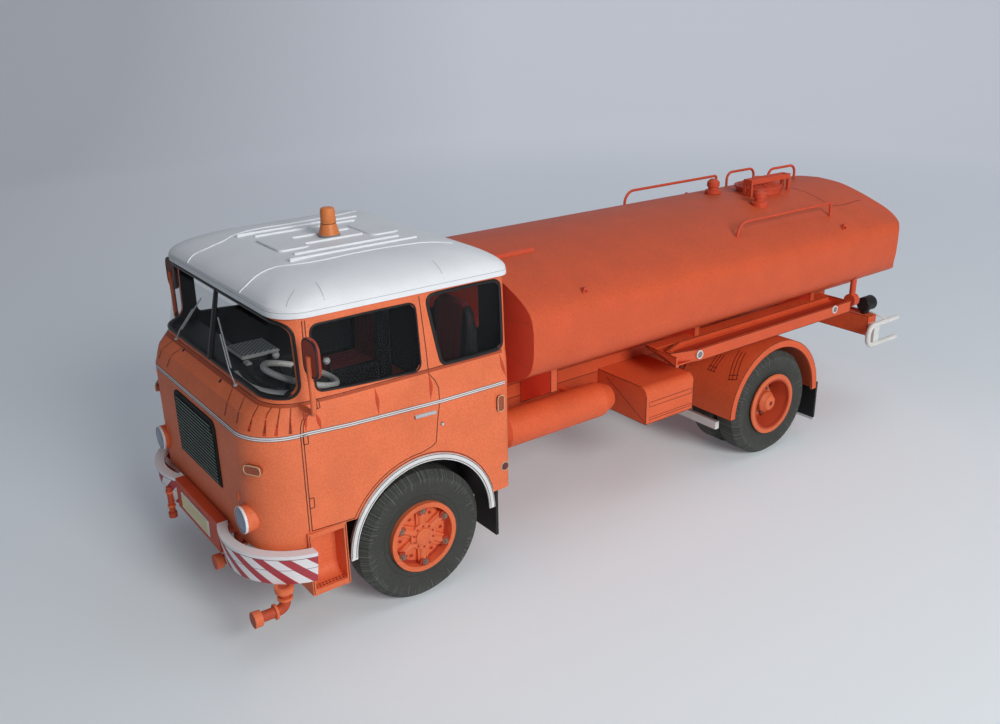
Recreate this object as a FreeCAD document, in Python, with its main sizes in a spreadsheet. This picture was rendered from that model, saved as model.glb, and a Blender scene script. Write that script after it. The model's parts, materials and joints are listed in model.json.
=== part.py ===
import FreeCAD
import Part
import Sketcher
import math
import os

# A card scale model of a two-axle street-sprinkler tanker lorry with a cab over the engine, at 1:32.
# The lorry faces -Y, its left side is +X and +Z is up. The origin is on the ground,
# under the middle of the model's overall box. All lengths are millimetres of the model.
# Distances along the lorry are given ahead of or behind the front axle.
SIZES = {
    # Overall
    "wheelbase": 130.0,
    "card": 0.8,
    "seat_gap": 0.3,
    "overrun": 3.0,
    # Tyres and wheel rims
    "tyre_radius": 17.0,
    "tyre_width": 9.0,
    "rim_radius": 9.1,
    "rim_proud": 0.45,
    "shoulder_drop": 1.6,
    "shoulder_width": 1.7,
    "front_track_half": 31.9,
    "rear_track_half": 27.2,
    "twin_gap": 1.6,
    "spoke_width": 2.6,
    "spoke_depth": 2.2,
    "spoke_set_in": 1.3,
    "front_hub_radius": 3.3,
    "front_hub_proud": 0.4,
    "rim_wall": 1.2,
    "clamp_radius": 0.75,
    "clamp_height": 0.8,
    "rear_disc_set_in": 6.6,
    "rear_hub_radius": 3.4,
    "rear_hub_proud": 1.2,
    "rear_bolt_circle": 5.6,
    "rear_bolt_radius": 0.55,
    "stub_radius": 1.4,
    "stub_clearance": 0.08,
    # Frame
    "rail_offset": 14.0,
    "rail_width": 3.4,
    "rail_bottom": 29.2,
    "rail_top": 35.4,
    "rail_nose": 34.0,
    "rail_wall": 0.9,
    "crossmember_height": 3.6,
    "crossmember_depth": 2.2,
    "crossmember_first": 30.0,
    "crossmember_pitch": 45.0,
    # Axles, springs and driveline
    "spring_half_length": 17.0,
    "spring_width": 3.0,
    "spring_leaf": 2.4,
    "spring_sag": 6.0,
    "spring_eye_radius": 1.3,
    "axle_beam_depth": 3.4,
    "axle_beam_height": 3.6,
    "axle_drop": 2.6,
    "knuckle_radius": 2.0,
    "rear_tube_radius": 2.7,
    "banjo_radius": 6.4,
    "banjo_width": 11.0,
    "propshaft_radius": 1.2,
    "engine_width": 18.0,
    "engine_front": 22.0,
    "engine_back": 21.0,
    "engine_bottom": 19.5,
    "gearbox_radius": 4.2,
    "gearbox_length": 14.0,
    # Tank
    "tank_front": 33.5,
    "tank_back": 194.7,
    "tank_side_back": 188.9,
    "tank_rounding": 11.6,
    "tank_half_width": 37.6,
    "tank_crown": 76.1,
    "tank_shoulder": 66.6,
    "tank_shoulder_in": 1.2,
    "tank_side_top": 64.0,
    "tank_side_bottom": 54.0,
    "tank_chine": 50.4,
    "tank_chine_in": 1.8,
    "tank_flat_half": 14.6,
    "tank_bottom": 39.4,
    "cradle_thickness": 2.2,
    "cradle_first": 46.0,
    "cradle_pitch": 55.0,
    "cradle_foot": 4.0,
    # Tank top fittings
    "hatch_at": 159.5,
    "hatch_offset": 1.5,
    "hatch_radius": 8.0,
    "hatch_height": 3.2,
    "hatch_crown": 1.3,
    "hatch_knob_radius": 1.5,
    "hatch_rib": 0.9,
    "strap_offset": 3.6,
    "strap_half_width": 1.7,
    "strap_half_length": 10.0,
    "strap_thickness": 1.6,
    "strap_clearance": 0.4,
    "vent_one_at": 145.0,
    "vent_one_offset": 5.6,
    "vent_two_at": 145.6,
    "vent_two_offset": 13.6,
    "vent_flange_radius": 2.7,
    "vent_cap_radius": 2.1,
    "vent_height": 4.8,
    "wire": 0.9,
    "hand_rail_front": 119.0,
    "hand_rail_back": 164.0,
    "hand_rail_offset": 27.6,
    "far_rail_offset": 21.0,
    "hand_rail_height": 4.4,
    "hand_rail_bend": 4.0,
    "loop_one_at": 165.0,
    "loop_one_offset": 17.0,
    "loop_two_at": 172.6,
    "loop_two_offset": 5.0,
    "loop_length": 14.6,
    "loop_height": 4.8,
    "loop_bend": 2.6,
    "lug_front": 53.0,
    "lug_back": 163.0,
    "lug_offset": 34.0,
    "lug_height": 3.4,
    "lug_length": 2.6,
    "lug_hole_radius": 0.6,
    "socket_from": 35.0,
    "socket_to": 53.0,
    "socket_offset": 12.4,
    "socket_radius": 1.0,
    "outlet_at": 169.0,
    "outlet_offset": 35.0,
    "outlet_height": 43.0,
    "outlet_radius": 2.1,
    "outlet_length": 2.6,
    "outlet_pipe_radius": 1.0,
    # Hose troughs
    "trough_front": 85.0,
    "trough_back": 166.0,
    "trough_outer": 37.6,
    "trough_inner": 29.0,
    "trough_bottom": 40.4,
    "trough_height": 3.6,
    "trough_taper": 9.0,
    # Rear mudguards and flaps
    "guard_arc_radius": 21.0,
    "guard_arc_outer": 37.8,
    "guard_lip": 2.2,
    "guard_arc_behind": 0.6,
    "flap_width": 9.6,
    "rear_flap_bottom": 5.5,
    "rear_flap_top": 19.0,
    "front_flap_at": 22.0,
    "front_flap_bottom": 9.0,
    "front_flap_top": 26.0,
    # Tool boxes and storage tubes
    "box_front": 75.0,
    "box_back": 94.0,
    "box_outer": 36.0,
    "box_bottom": 25.0,
    "box_top": 36.0,
    "box_shoulder": 2.4,
    "drum_offset": 25.0,
    "drum_middle_height": 31.8,
    "drum_half_width": 5.0,
    "drum_front": 31.0,
    "drum_back": 70.0,
    "drum_strap": 2.0,
    "drum_nose_taper": 1.5,
    "drum_tail_taper": 4.0,
    # Rear beam, guards, lamps and hitch
    "beam_front": 183.0,
    "beam_depth": 4.6,
    "beam_half_length": 34.0,
    "beam_bottom": 27.2,
    "beam_top": 34.0,
    "hoop_bar": 1.8,
    "hoop_offset": 36.4,
    "hoop_front": 179.6,
    "hoop_back": 197.0,
    "hoop_low": 24.4,
    "hoop_high": 31.6,
    "hoop_bend": 3.0,
    "lamp_offset": 30.6,
    "lamp_radius": 2.5,
    "lamp_length": 4.2,
    "lamp_foot": 1.5,
    "lamp_height_up": 37.4,
    "bar_front": 109.8,
    "bar_depth": 1.6,
    "bar_outer": 32.0,
    "bar_bottom": 12.0,
    "bar_height": 2.5,
    "jaw_width": 6.0,
    "jaw_height": 4.4,
    "jaw_length": 5.0,
    "jaw_slot": 1.8,
    "jaw_pin_radius": 0.8,
    # Cab shell
    "cab_front": 39.7,
    "cab_back": 26.7,
    "cab_half_width": 36.8,
    "cab_bottom": 22.4,
    "cab_nose_inset": 1.9,
    "cab_taper_start": 18.0,
    "cab_corner": 11.0,
    "cab_rear_corner": 2.2,
    "stripe_height": 52.6,
    "shoulder_height": 57.0,
    "shoulder_front": 37.9,
    "shoulder_inset": 0.1,
    "belt_height": 60.0,
    "belt_front": 34.6,
    "belt_inset": 0.6,
    "belt_corner": 8.4,
    "header_height": 78.3,
    "header_front": 30.5,
    "header_inset": 1.3,
    "header_corner": 6.4,
    "skirt_front_height": 25.0,
    "skirt_step_height": 28.6,
    "skirt_step_front": 30.0,
    "arch_back": 0.45,
    "arch_height": 18.3,
    "arch_radius": 18.9,
    "arch_trim_width": 1.65,
    "arch_trim_proud": 0.4,
    # Cab windows
    "screen_sill": 1.4,
    "screen_head": 1.3,
    "screen_side_back": 28.2,
    "screen_divider": 1.6,
    "screen_corner": 3.0,
    "window_corner": 2.0,
    "door_sill_front": 1.6,
    "door_sill_back": 0.2,
    "door_head": 2.1,
    "door_glass_front": 24.2,
    "door_glass_back": 1.5,
    "quarter_head": 1.3,
    "quarter_sill": 0.4,
    "quarter_front_bottom": 7.6,
    "quarter_front_top": 4.4,
    "quarter_back": 24.4,
    "rear_glass_half": 25.0,
    "glass_set": 0.15,
    "glass_thickness": 0.5,
    # Cab roof
    "roof_lap": 1.0,
    "gutter_height": 1.1,
    "roof_rise": 6.9,
    "dome_side_inset": 17.0,
    "dome_front_inset": 19.0,
    "dome_back_inset": 12.0,
    "roof_rib_width": 0.8,
    "roof_rib_height": 0.45,
    "outer_rib_offset": 14.5,
    "outer_rib_front": 16.0,
    "outer_rib_back": 12.5,
    "middle_rib_offset": 10.5,
    "middle_rib_front": 14.8,
    "middle_rib_back": 12.4,
    "inner_rib_offset": 3.3,
    "inner_rib_front": 8.5,
    "inner_rib_back": 6.5,
    "roof_panel_half": 8.0,
    "roof_panel_front": 17.0,
    "roof_panel_length": 8.5,
    "roof_panel_back": 7.0,
    "roof_panel_corner": 2.0,
    "beacon_ahead": 0.8,
    "beacon_base_radius": 2.7,
    "beacon_ring_height": 0.9,
    "beacon_waist_radius": 1.7,
    "beacon_top_radius": 1.9,
    "beacon_height": 7.2,
    # Cab front
    "grille_half_width": 13.4,
    "grille_bottom": 34.1,
    "grille_top": 50.7,
    "grille_corner": 2.2,
    "grille_border": 0.9,
    "grille_proud": 0.3,
    "slat_height": 0.45,
    "slat_pitch": 0.92,
    "slat_count": 16,
    "headlamp_inset": 9.8,
    "headlamp_height": 32.2,
    "headlamp_radius": 3.2,
    "headlamp_face": 40.7,
    "headlamp_rim": 0.5,
    "fin_inset": 3.4,
    "fin_height": 2.6,
    "indicator_in": 4.4,
    "indicator_back": 1.6,
    "indicator_height": 45.3,
    "indicator_length": 4.4,
    "indicator_tall": 2.2,
    "indicator_turn": 31.0,
    "indicator_thickness": 0.9,
    "side_lamp_at": 23.2,
    "side_lamp_height": 46.4,
    "side_lamp_length": 1.9,
    "side_lamp_tall": 4.2,
    # Bumper
    "bumper_front": 42.6,
    "bumper_centre_half": 14.3,
    "bumper_top": 26.0,
    "bumper_bottom": 18.0,
    "bumper_depth": 2.6,
    "bumper_end_reach": 3.6,
    "bumper_end_back": 29.6,
    "bumper_via_inset": 3.4,
    "bumper_via_ahead": 40.6,
    "bumper_tuck": 1.5,
    "bracket_width": 3.0,
    # Steps under the doors
    "step_back": 20.4,
    "step_inset": 0.2,
    "step_width": 11.0,
    "step_bottom": 12.6,
    "tread_height": 14.0,
    "tread_depth": 5.0,
    "recess_top": 27.4,
    "recess_corner": 3.0,
    # Mirrors, wipers and front sprinkler nozzles
    "mirror_reach": 4.9,
    "mirror_ahead": 27.5,
    "mirror_half_width": 3.4,
    "mirror_low": 67.4,
    "mirror_high": 75.9,
    "mirror_thickness": 0.9,
    "mirror_stalk": 1.1,
    "wiper_bar": 0.55,
    "wiper_root": 14.0,
    "wiper_reach": 12.5,
    "nozzle_pipe_radius": 1.25,
    "nozzle_inset": 0.8,
    "nozzle_pipe_ahead": 36.6,
    "nozzle_throw": 8.0,
    "nozzle_elbow_height": 12.2,
    "nozzle_collar_radius": 1.8,
    "nozzle_collar_length": 1.4,
    "centre_nozzle_height": 14.8,
    "centre_nozzle_out": 12.2,
    "centre_nozzle_root": 37.0,
    "centre_nozzle_throw": 1.2,
    "right_nozzle_out": 17.8,
    "right_nozzle_pipe_radius": 0.8,
    "right_nozzle_lip": 0.3,
    "right_nozzle_top": 22.4,
    "right_nozzle_bottom": 13.6,
    # Cab inside
    "floor_height": 38.0,
    "cab_mount_front": 31.0,
    "cab_mount_back": 21.5,
    "dash_top": 60.6,
    "dash_bottom": 48.6,
    "dash_back": 25.0,
    "cover_half_width": 8.6,
    "cover_front": 25.0,
    "cover_back": 12.0,
    "cover_top": 55.0,
    "seat_cover_gap": 3.9,
    "seat_wall_gap": 6.3,
    "seat_front": 1.0,
    "seat_back": 20.0,
    "cushion_bottom": 45.0,
    "cushion_top": 50.5,
    "backrest_drop": 7.3,
    "backrest_thickness": 4.4,
    "seat_base_inset": 2.0,
    "wheel_ring_radius": 6.6,
    "wheel_ring_tube": 0.65,
    "wheel_centre_height": 62.4,
    "wheel_centre_ahead": 16.6,
    "wheel_tilt": 28.0,
    "column_radius": 0.8,
    "column_length": 26.2,
}

os.makedirs("parts", exist_ok=True)
doc = FreeCAD.newDocument("SprinklerLorry")
sheet = doc.addObject("Spreadsheet::Sheet", "Sizes")
for row, (alias, number) in enumerate(SIZES.items(), start=1):
    cell = "A" + str(row)
    sheet.set(cell, str(number))
    sheet.setAlias(cell, alias)
doc.recompute()


class Size:
    """A length worked out from the sheet: its value now, and the expression that keeps it bound."""

    def __init__(self, value, text):
        self.value = value
        self.text = text

    def __add__(self, other):
        return self if other is ZERO else Size(self.value + other.value, f"({self.text} + {other.text})")

    def __sub__(self, other):
        return self if other is ZERO else Size(self.value - other.value, f"({self.text} - {other.text})")

    def __neg__(self):
        return self if self is ZERO else Size(-self.value, f"(0 - {self.text})")

    def __mul__(self, share):
        return Size(self.value * share, f"({self.text} * {share!r})")

    def __truediv__(self, share):
        return Size(self.value / share, f"({self.text} / {share!r})")


ZERO = Size(0.0, "0")


class Sheet:
    """Reads the sheet's cells as sizes."""

    def __getattr__(self, alias):
        return Size(float(sheet.get(alias)), "Sizes." + alias)


S = Sheet()
NOSE = S.nozzle_pipe_ahead + S.nozzle_throw
TAIL = S.hoop_back
FRONT_AXLE = (NOSE - TAIL) / 2
REAR_AXLE = FRONT_AXLE + S.wheelbase
AXLE_HEIGHT = S.tyre_radius


def ahead(distance):
    return FRONT_AXLE - distance


def behind(distance):
    return FRONT_AXLE + distance


# Ways of making pieces: each binds its sizes to the sheet with expressions
PLANES = {"XY": "XY_Plane", "XZ": "XZ_Plane", "YZ": "YZ_Plane"}
TURNS = {"X": FreeCAD.Rotation(FreeCAD.Vector(0, 1, 0), 90),
         "Y": FreeCAD.Rotation(FreeCAD.Vector(1, 0, 0), -90),
         "Z": FreeCAD.Rotation()}


def bind(piece, **sizes):
    for name, size in sizes.items():
        piece.setExpression(name, size.text)


def place(piece, x=ZERO, y=ZERO, z=ZERO, turn=None):
    if turn is not None:
        piece.Placement = FreeCAD.Placement(FreeCAD.Vector(), turn)
    for letter, size in (("x", x), ("y", y), ("z", z)):
        piece.setExpression("Placement.Base." + letter, size.text)
    return piece


def block(name, x, y, z):
    """A box from the low to the high side along each axis."""
    piece = doc.addObject("Part::Box", name)
    bind(piece, Length=x[1] - x[0], Width=y[1] - y[0], Height=z[1] - z[0])
    return place(piece, x[0], y[0], z[0])


def rod(name, axis, centre, span, radius, tip_radius=None):
    """A cylinder, or a cone where the tip has its own radius, along one axis."""
    piece = doc.addObject("Part::Cylinder" if tip_radius is None else "Part::Cone", name)
    bind(piece, Height=span[1] - span[0])
    if tip_radius is None:
        bind(piece, Radius=radius)
    else:
        bind(piece, Radius1=radius, Radius2=tip_radius)
    a, b = centre
    spot = {"X": (span[0], a, b), "Y": (a, span[0], b), "Z": (a, b, span[0])}[axis]
    return place(piece, *spot, turn=TURNS[axis])


class Via:
    """A point that the next edge of an outline bends through."""

    def __init__(self, x, y):
        self.at = (x, y)


class Round:
    """A circle with its middle on the plane's upright axis, in place of an outline of corners."""

    def __init__(self, height, radius):
        self.height = height
        self.radius = radius


def draw_round(sketch, ring):
    middle = FreeCAD.Vector(0, ring.height.value, 0)
    sketch.addGeometry(Part.Circle(middle, FreeCAD.Vector(0, 0, 1), ring.radius.value), False)
    sketch.addConstraint(Sketcher.Constraint("PointOnObject", 0, 3, -2))
    for kind, where, size in (("DistanceY", (-1, 1, 0, 3), ring.height), ("Radius", (0,), ring.radius)):
        index = sketch.addConstraint(Sketcher.Constraint(kind, *where, size.value))
        sketch.setExpression(f"Constraints[{index}]", size.text)


def draw(sketch, outline, closed=True):
    """Draws corners (x, y) or (x, y, rounding), bound to their sizes; a Via bends an edge."""
    corners = [item for item in outline if not isinstance(item, Via)]
    bends = {}
    for item in outline:
        if isinstance(item, Via):
            bends[count] = item
        else:
            count = corners.index(item)
    points = [FreeCAD.Vector(c[0].value, c[1].value, 0) for c in corners]
    total = len(corners)
    edges = total if closed else total - 1
    starts, ends, rounds = {}, {}, {}
    for i, corner in enumerate(corners):
        starts[i] = ends[i] = points[i]
        if len(corner) == 3 and corner[2].value > 0:
            to_last = (points[i - 1] - points[i]).normalize()
            to_next = (points[(i + 1) % total] - points[i]).normalize()
            half = to_last.getAngle(to_next) / 2
            starts[i] = points[i] + to_next * (corner[2].value / math.tan(half))
            ends[i] = points[i] + to_last * (corner[2].value / math.tan(half))
            centre = points[i] + (to_last + to_next).normalize() * (corner[2].value / math.sin(half))
            rounds[i] = (centre, centre + (points[i] - centre).normalize() * corner[2].value)
    tags = []

    def arc(first, middle, last):
        turning = (middle - first).cross(last - middle).z
        number = sketch.addGeometry(Part.Arc(first, middle, last), False)
        return (number, 1, 2) if turning > 0 else (number, 2, 1)

    def limit(kind, number, spot, size):
        index = sketch.addConstraint(Sketcher.Constraint(kind, -1, 1, number, spot, size.value))
        sketch.setExpression(f"Constraints[{index}]", size.text)

    for i in range(edges):
        first, last = starts[i], ends[(i + 1) % total]
        if i in bends:
            x, y = bends[i].at
            tags.append(arc(first, FreeCAD.Vector(x.value, y.value, 0), last))
            mark = sketch.addGeometry(Part.Point(FreeCAD.Vector(x.value, y.value, 0)), True)
            limit("DistanceX", mark, 1, x)
            limit("DistanceY", mark, 1, y)
            sketch.addConstraint(Sketcher.Constraint("PointOnObject", mark, 1, tags[-1][0]))
        else:
            tags.append((sketch.addGeometry(Part.LineSegment(first, last), False), 1, 2))
    for i, corner in enumerate(corners):
        before = tags[i - 1] if closed or i > 0 else None
        after = tags[i] if i < edges else None
        if i in rounds:
            number, first, last = arc(ends[i], rounds[i][1], starts[i])
            mark = sketch.addGeometry(Part.Point(points[i]), True)
            limit("DistanceX", mark, 1, corner[0])
            limit("DistanceY", mark, 1, corner[1])
            sketch.addConstraint(Sketcher.Constraint("PointOnObject", mark, 1, before[0]))
            sketch.addConstraint(Sketcher.Constraint("PointOnObject", mark, 1, after[0]))
            sketch.addConstraint(Sketcher.Constraint("Tangent", before[0], before[2], number, first))
            sketch.addConstraint(Sketcher.Constraint("Tangent", number, last, after[0], after[1]))
            index = sketch.addConstraint(Sketcher.Constraint("Radius", number, corner[2].value))
            sketch.setExpression(f"Constraints[{index}]", corner[2].text)
            continue
        if before and after:
            sketch.addConstraint(Sketcher.Constraint("Coincident", before[0], before[2], after[0], after[1]))
        number, spot = (after[0], after[1]) if after else (before[0], before[2])
        limit("DistanceX", number, spot, corner[0])
        limit("DistanceY", number, spot, corner[1])


def sketch_in(body, name, plane, height, outline, closed=True):
    """A sketch on one of the body's own origin planes, lifted off it by a height."""
    sketch = body.newObject("Sketcher::SketchObject", name)
    base = [feature for feature in body.Origin.OriginFeatures if feature.Role == PLANES[plane]][0]
    sketch.AttachmentSupport = (base, "")
    sketch.MapMode = "FlatFace"
    lift = -height if plane == "XZ" else height
    sketch.setExpression("AttachmentOffset.Base.z", lift.text)
    if isinstance(outline, Round):
        draw_round(sketch, outline)
    else:
        draw(sketch, outline, closed)
    return sketch


def prism(name, plane, outline, span):
    """An outline on a plane, padded across it from the low to the high side."""
    body = doc.addObject("PartDesign::Body", name)
    start = span[1] if plane == "XZ" else span[0]
    sketch = sketch_in(body, name + "_outline", plane, start, outline)
    pad = body.newObject("PartDesign::Pad", name + "_pad")
    pad.Profile = sketch
    bind(pad, Length=span[1] - span[0])
    return body


def turned(name, plane, outline, axis):
    """An outline turned about one of its plane's own axes: H_Axis lies along, V_Axis stands up."""
    body = doc.addObject("PartDesign::Body", name)
    sketch = sketch_in(body, name + "_outline", plane, ZERO, outline)
    lathe = body.newObject("PartDesign::Revolution", name + "_turned")
    lathe.Profile = sketch
    lathe.ReferenceAxis = (sketch, [axis])
    lathe.Angle = 360
    return body


def lofted(name, sections, ruled=True):
    """A solid through level outlines, each with its own height."""
    body = doc.addObject("PartDesign::Body", name)
    sketches = [sketch_in(body, f"{name}_level_{i}", "XY", height, outline)
                for i, (height, outline) in enumerate(sections)]
    loft = body.newObject("PartDesign::AdditiveLoft", name + "_loft")
    loft.Profile = sketches[0]
    loft.Sections = sketches[1:]
    loft.Ruled = ruled
    return body


def bent_bar(name, plane, level, path, radius):
    """A round bar along level and upright runs (a, b, bend), with a quarter ring at each bend."""
    axes = {"YZ": ("Y", "Z"), "XZ": ("X", "Z")}[plane]
    ways = {"X": FreeCAD.Vector(1, 0, 0), "Y": FreeCAD.Vector(0, 1, 0), "Z": FreeCAD.Vector(0, 0, 1)}
    pieces, last_cut = [], ZERO
    for number in range(len(path) - 1):
        here, there = path[number], path[number + 1]
        way = 0 if abs(here[0].value - there[0].value) > abs(here[1].value - there[1].value) else 1
        next_cut = there[2] if len(there) == 3 else ZERO
        forward = there[way].value > here[way].value
        if forward:
            span = (here[way] + last_cut, there[way] - next_cut)
        else:
            span = (there[way] + next_cut, here[way] - last_cut)
        across = here[1 - way]
        centre = {"YZ": (level, across), "XZ": (across, level) if way else (level, across)}[plane]
        pieces.append(rod(f"{name}_run_{number}", axes[way], centre, span, radius))
        last_cut = next_cut
        if len(there) == 3:
            beyond = path[number + 2]
            up = beyond[1 - way].value > there[1 - way].value
            middle = [there[0], there[1]]
            middle[way] = middle[way] - there[2] if forward else middle[way] + there[2]
            middle[1 - way] = middle[1 - way] + there[2] if up else middle[1 - way] - there[2]
            ring = doc.addObject("Part::Torus", f"{name}_bend_{number}")
            bind(ring, Radius1=there[2], Radius2=radius)
            ring.Angle3 = 90
            arriving = ways[axes[way]] * (1 if forward else -1)
            leaving = ways[axes[1 - way]] * (1 if up else -1)
            turn = FreeCAD.Rotation(-leaving, arriving, arriving.cross(leaving), "XYZ")
            spot = (level, *middle) if plane == "YZ" else (middle[0], level, middle[1])
            pieces.append(place(ring, *spot, turn=turn))
    return fuse(name, *pieces)


def fuse(name, *pieces):
    piece = doc.addObject("Part::MultiFuse", name)
    piece.Shapes = list(pieces)
    return piece


def cut(name, base, *tools):
    piece = doc.addObject("Part::Cut", name)
    piece.Base = base
    piece.Tool = tools[0] if len(tools) == 1 else fuse(name + "_tools", *tools)
    return piece


def common(name, first, second):
    piece = doc.addObject("Part::Common", name)
    piece.Base = first
    piece.Tool = second
    return piece


def group(name, *pieces):
    piece = doc.addObject("Part::Compound", name)
    piece.Links = list(pieces)
    return piece


def mirrored(name, source):
    """The same piece on the other side of the lorry's middle."""
    piece = doc.addObject("Part::Mirroring", name)
    piece.Source = source
    piece.Normal = FreeCAD.Vector(1, 0, 0)
    return piece


def pair(name, source):
    return group(name, source, mirrored(name + "_right", source))


def turned_copies(body, feature, count):
    """Repeats a feature of a body round the body's X axis."""
    pattern = body.newObject("PartDesign::PolarPattern", feature.Name + "_ring")
    pattern.Originals = [feature]
    axis = [item for item in body.Origin.OriginFeatures if item.Role == "X_Axis"][0]
    pattern.Axis = (axis, [""])
    pattern.Angle = 360
    pattern.Occurrences = count
    body.Tip = pattern
    return body


NODES = []


def keep(node, piece):
    """Marks a piece as one of the lorry's nodes, named for its file."""
    piece.Label = node
    NODES.append(piece)
    return piece


# Tyres: one on each front wheel, two on each rear wheel, turned from a six-sided section
def tyre(name):
    half = S.tyre_width / 2
    tread = half - S.shoulder_width
    shoulder = S.tyre_radius - S.shoulder_drop
    bead = half - S.rim_proud * 2
    outline = [(-bead, S.rim_radius), (bead, S.rim_radius), (half, shoulder), (tread, S.tyre_radius),
               (-tread, S.tyre_radius), (-half, shoulder)]
    return turned(name, "XY", outline, "H_Axis")


RIM_BACK = -(S.tyre_width / 2) - S.rim_proud
RIM_FACE = S.tyre_width / 2 + S.rim_proud
BORE = S.stub_radius + S.stub_clearance


# Front wheel: a rim with six cast spokes on a hub, and a clamp at each spoke's end
def front_rim(name):
    inner = S.rim_radius - S.rim_wall
    plate = RIM_FACE - S.spoke_set_in
    outline = [(RIM_BACK, inner), (RIM_FACE, inner), (RIM_FACE, S.rim_radius), (RIM_BACK, S.rim_radius)]
    rim = turned(name + "_ring", "XY", outline, "H_Axis")
    back = plate - S.spoke_depth
    hub = turned(name + "_hub", "XY", [(RIM_BACK, BORE), (plate + S.front_hub_proud, BORE),
                                       (plate + S.front_hub_proud, S.front_hub_radius * 0.6),
                                       (plate, S.front_hub_radius), (RIM_BACK, S.front_hub_radius)], "H_Axis")
    reach = S.rim_radius - S.rim_wall / 2
    root = S.front_hub_radius * 0.8
    half = S.spoke_width / 2
    spoke = prism(name + "_spoke", "YZ", [(half * 1.2, root), (half, reach), (-half, reach), (-half * 1.2, root)],
                  (back, plate))
    spokes = turned_copies(spoke, spoke.Tip, 6)
    clamp = prism(name + "_clamp", "YZ", Round(inner - S.clamp_radius, S.clamp_radius),
                  (plate - S.rim_wall / 4, plate + S.clamp_height))
    clamps = turned_copies(clamp, clamp.Tip, 6)
    return fuse(name, rim, hub, spokes, clamps)


# Rear wheel: two rims on one deep disc with a long hub and a ring of bolts
def rear_rim(name):
    inner = S.rim_radius - S.rim_wall
    reach = S.tyre_width + S.twin_gap / 2
    face = reach + S.rim_proud
    plate = face - S.rear_disc_set_in
    low = plate - S.rim_wall
    outline = [(-face, inner), (low, inner), (low, S.rear_hub_radius), (-face, S.rear_hub_radius), (-face, BORE),
               (face - S.rear_hub_proud, BORE), (face - S.rear_hub_proud, S.rear_hub_radius * 0.7),
               (face - S.rear_hub_proud * 2, S.rear_hub_radius), (plate, S.rear_hub_radius),
               (plate, inner - S.rim_wall), (face - S.rim_wall, inner), (face, inner), (face, S.rim_radius),
               (-face, S.rim_radius)]
    wheel = turned(name + "_dish", "XY", outline, "H_Axis")
    bolt = prism(name + "_bolt", "YZ", Round(S.rear_bolt_circle, S.rear_bolt_radius),
                 (plate - S.rim_wall / 2, plate + S.rim_wall / 2 + S.rear_bolt_radius))
    return fuse(name, wheel, turned_copies(bolt, bolt.Tip, 8))


def wheel_nodes():
    front_tyre = place(tyre("front_tyre"), S.front_track_half, FRONT_AXLE, AXLE_HEIGHT)
    keep("tyre_front_left", front_tyre)
    keep("tyre_front_right", mirrored("front_tyre_right", front_tyre))
    front = place(front_rim("front_rim"), S.front_track_half, FRONT_AXLE, AXLE_HEIGHT)
    keep("rim_front_left", front)
    keep("rim_front_right", mirrored("front_rim_right", front))
    step = (S.tyre_width + S.twin_gap) / 2
    outer = place(tyre("rear_tyre_outer"), S.rear_track_half + step, REAR_AXLE, AXLE_HEIGHT)
    inner = place(tyre("rear_tyre_inner"), S.rear_track_half - step, REAR_AXLE, AXLE_HEIGHT)
    twin = keep("tyres_rear_left", group("rear_tyres", outer, inner))
    keep("tyres_rear_right", mirrored("rear_tyres_right", twin))
    rear = place(rear_rim("rear_rim"), S.rear_track_half, REAR_AXLE, AXLE_HEIGHT)
    keep("rim_rear_left", rear)
    keep("rim_rear_right", mirrored("rear_rim_right", rear))


# Frame: two channel rails, open to the inside, and the crossmembers between them
def frame_nodes():
    outside = S.rail_offset + S.rail_width / 2
    inside = S.rail_offset - S.rail_width / 2
    web = outside - S.rail_wall
    channel = [(inside, S.rail_bottom), (outside, S.rail_bottom), (outside, S.rail_top), (inside, S.rail_top),
               (inside, S.rail_top - S.rail_wall), (web, S.rail_top - S.rail_wall),
               (web, S.rail_bottom + S.rail_wall), (inside, S.rail_bottom + S.rail_wall)]
    rail = prism("rail", "XZ", channel, (ahead(S.rail_nose), behind(S.beam_front)))
    keep("frame_rail_left", rail)
    keep("frame_rail_right", mirrored("rail_right", rail))
    middle = (S.rail_bottom + S.rail_top) / 2
    low = middle - S.crossmember_height / 2
    high = middle + S.crossmember_height / 2
    members = []
    for number in range(4):
        start = behind(S.crossmember_first + S.crossmember_pitch * number)
        place_along = (start, start + S.crossmember_depth)
        members.append(block(f"crossmember_{number}", (-web, web), place_along, (low, high)))
    nose = ahead(S.rail_nose)
    members.append(block("nose_crossmember", (-web, web), (nose, nose + S.crossmember_depth), (low, high)))
    keep("crossmembers", group("crossmember_set", *members))


# Springs: a bowed pack of leaves from eye to eye under each rail, seated on the axle
def spring(name, axle, seat):
    half = S.spring_half_length
    low = seat
    high = low + S.spring_sag
    left = S.rail_offset - S.spring_width / 2
    right = S.rail_offset + S.spring_width / 2
    leaf = S.spring_leaf
    outline = [(axle - half, high), Via(axle, low), (axle + half, high), (axle + half, high + leaf * 0.4),
               Via(axle, low + leaf), (axle - half, high + leaf * 0.4)]
    pack = prism(name + "_leaves", "YZ", outline, (left, right))
    eyes = []
    for tag, spot in (("fore", axle - half), ("aft", axle + half)):
        eyes.append(rod(f"{name}_{tag}_eye", "X", (spot, high + leaf * 0.2), (left, right), S.spring_eye_radius))
        eyes.append(block(f"{name}_{tag}_hanger", (left + S.card / 2, right - S.card / 2),
                          (spot - S.spring_eye_radius * 0.7, spot + S.spring_eye_radius * 0.7),
                          (high + leaf * 0.2, S.rail_bottom)))
    return fuse(name, pack, *eyes)


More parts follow.
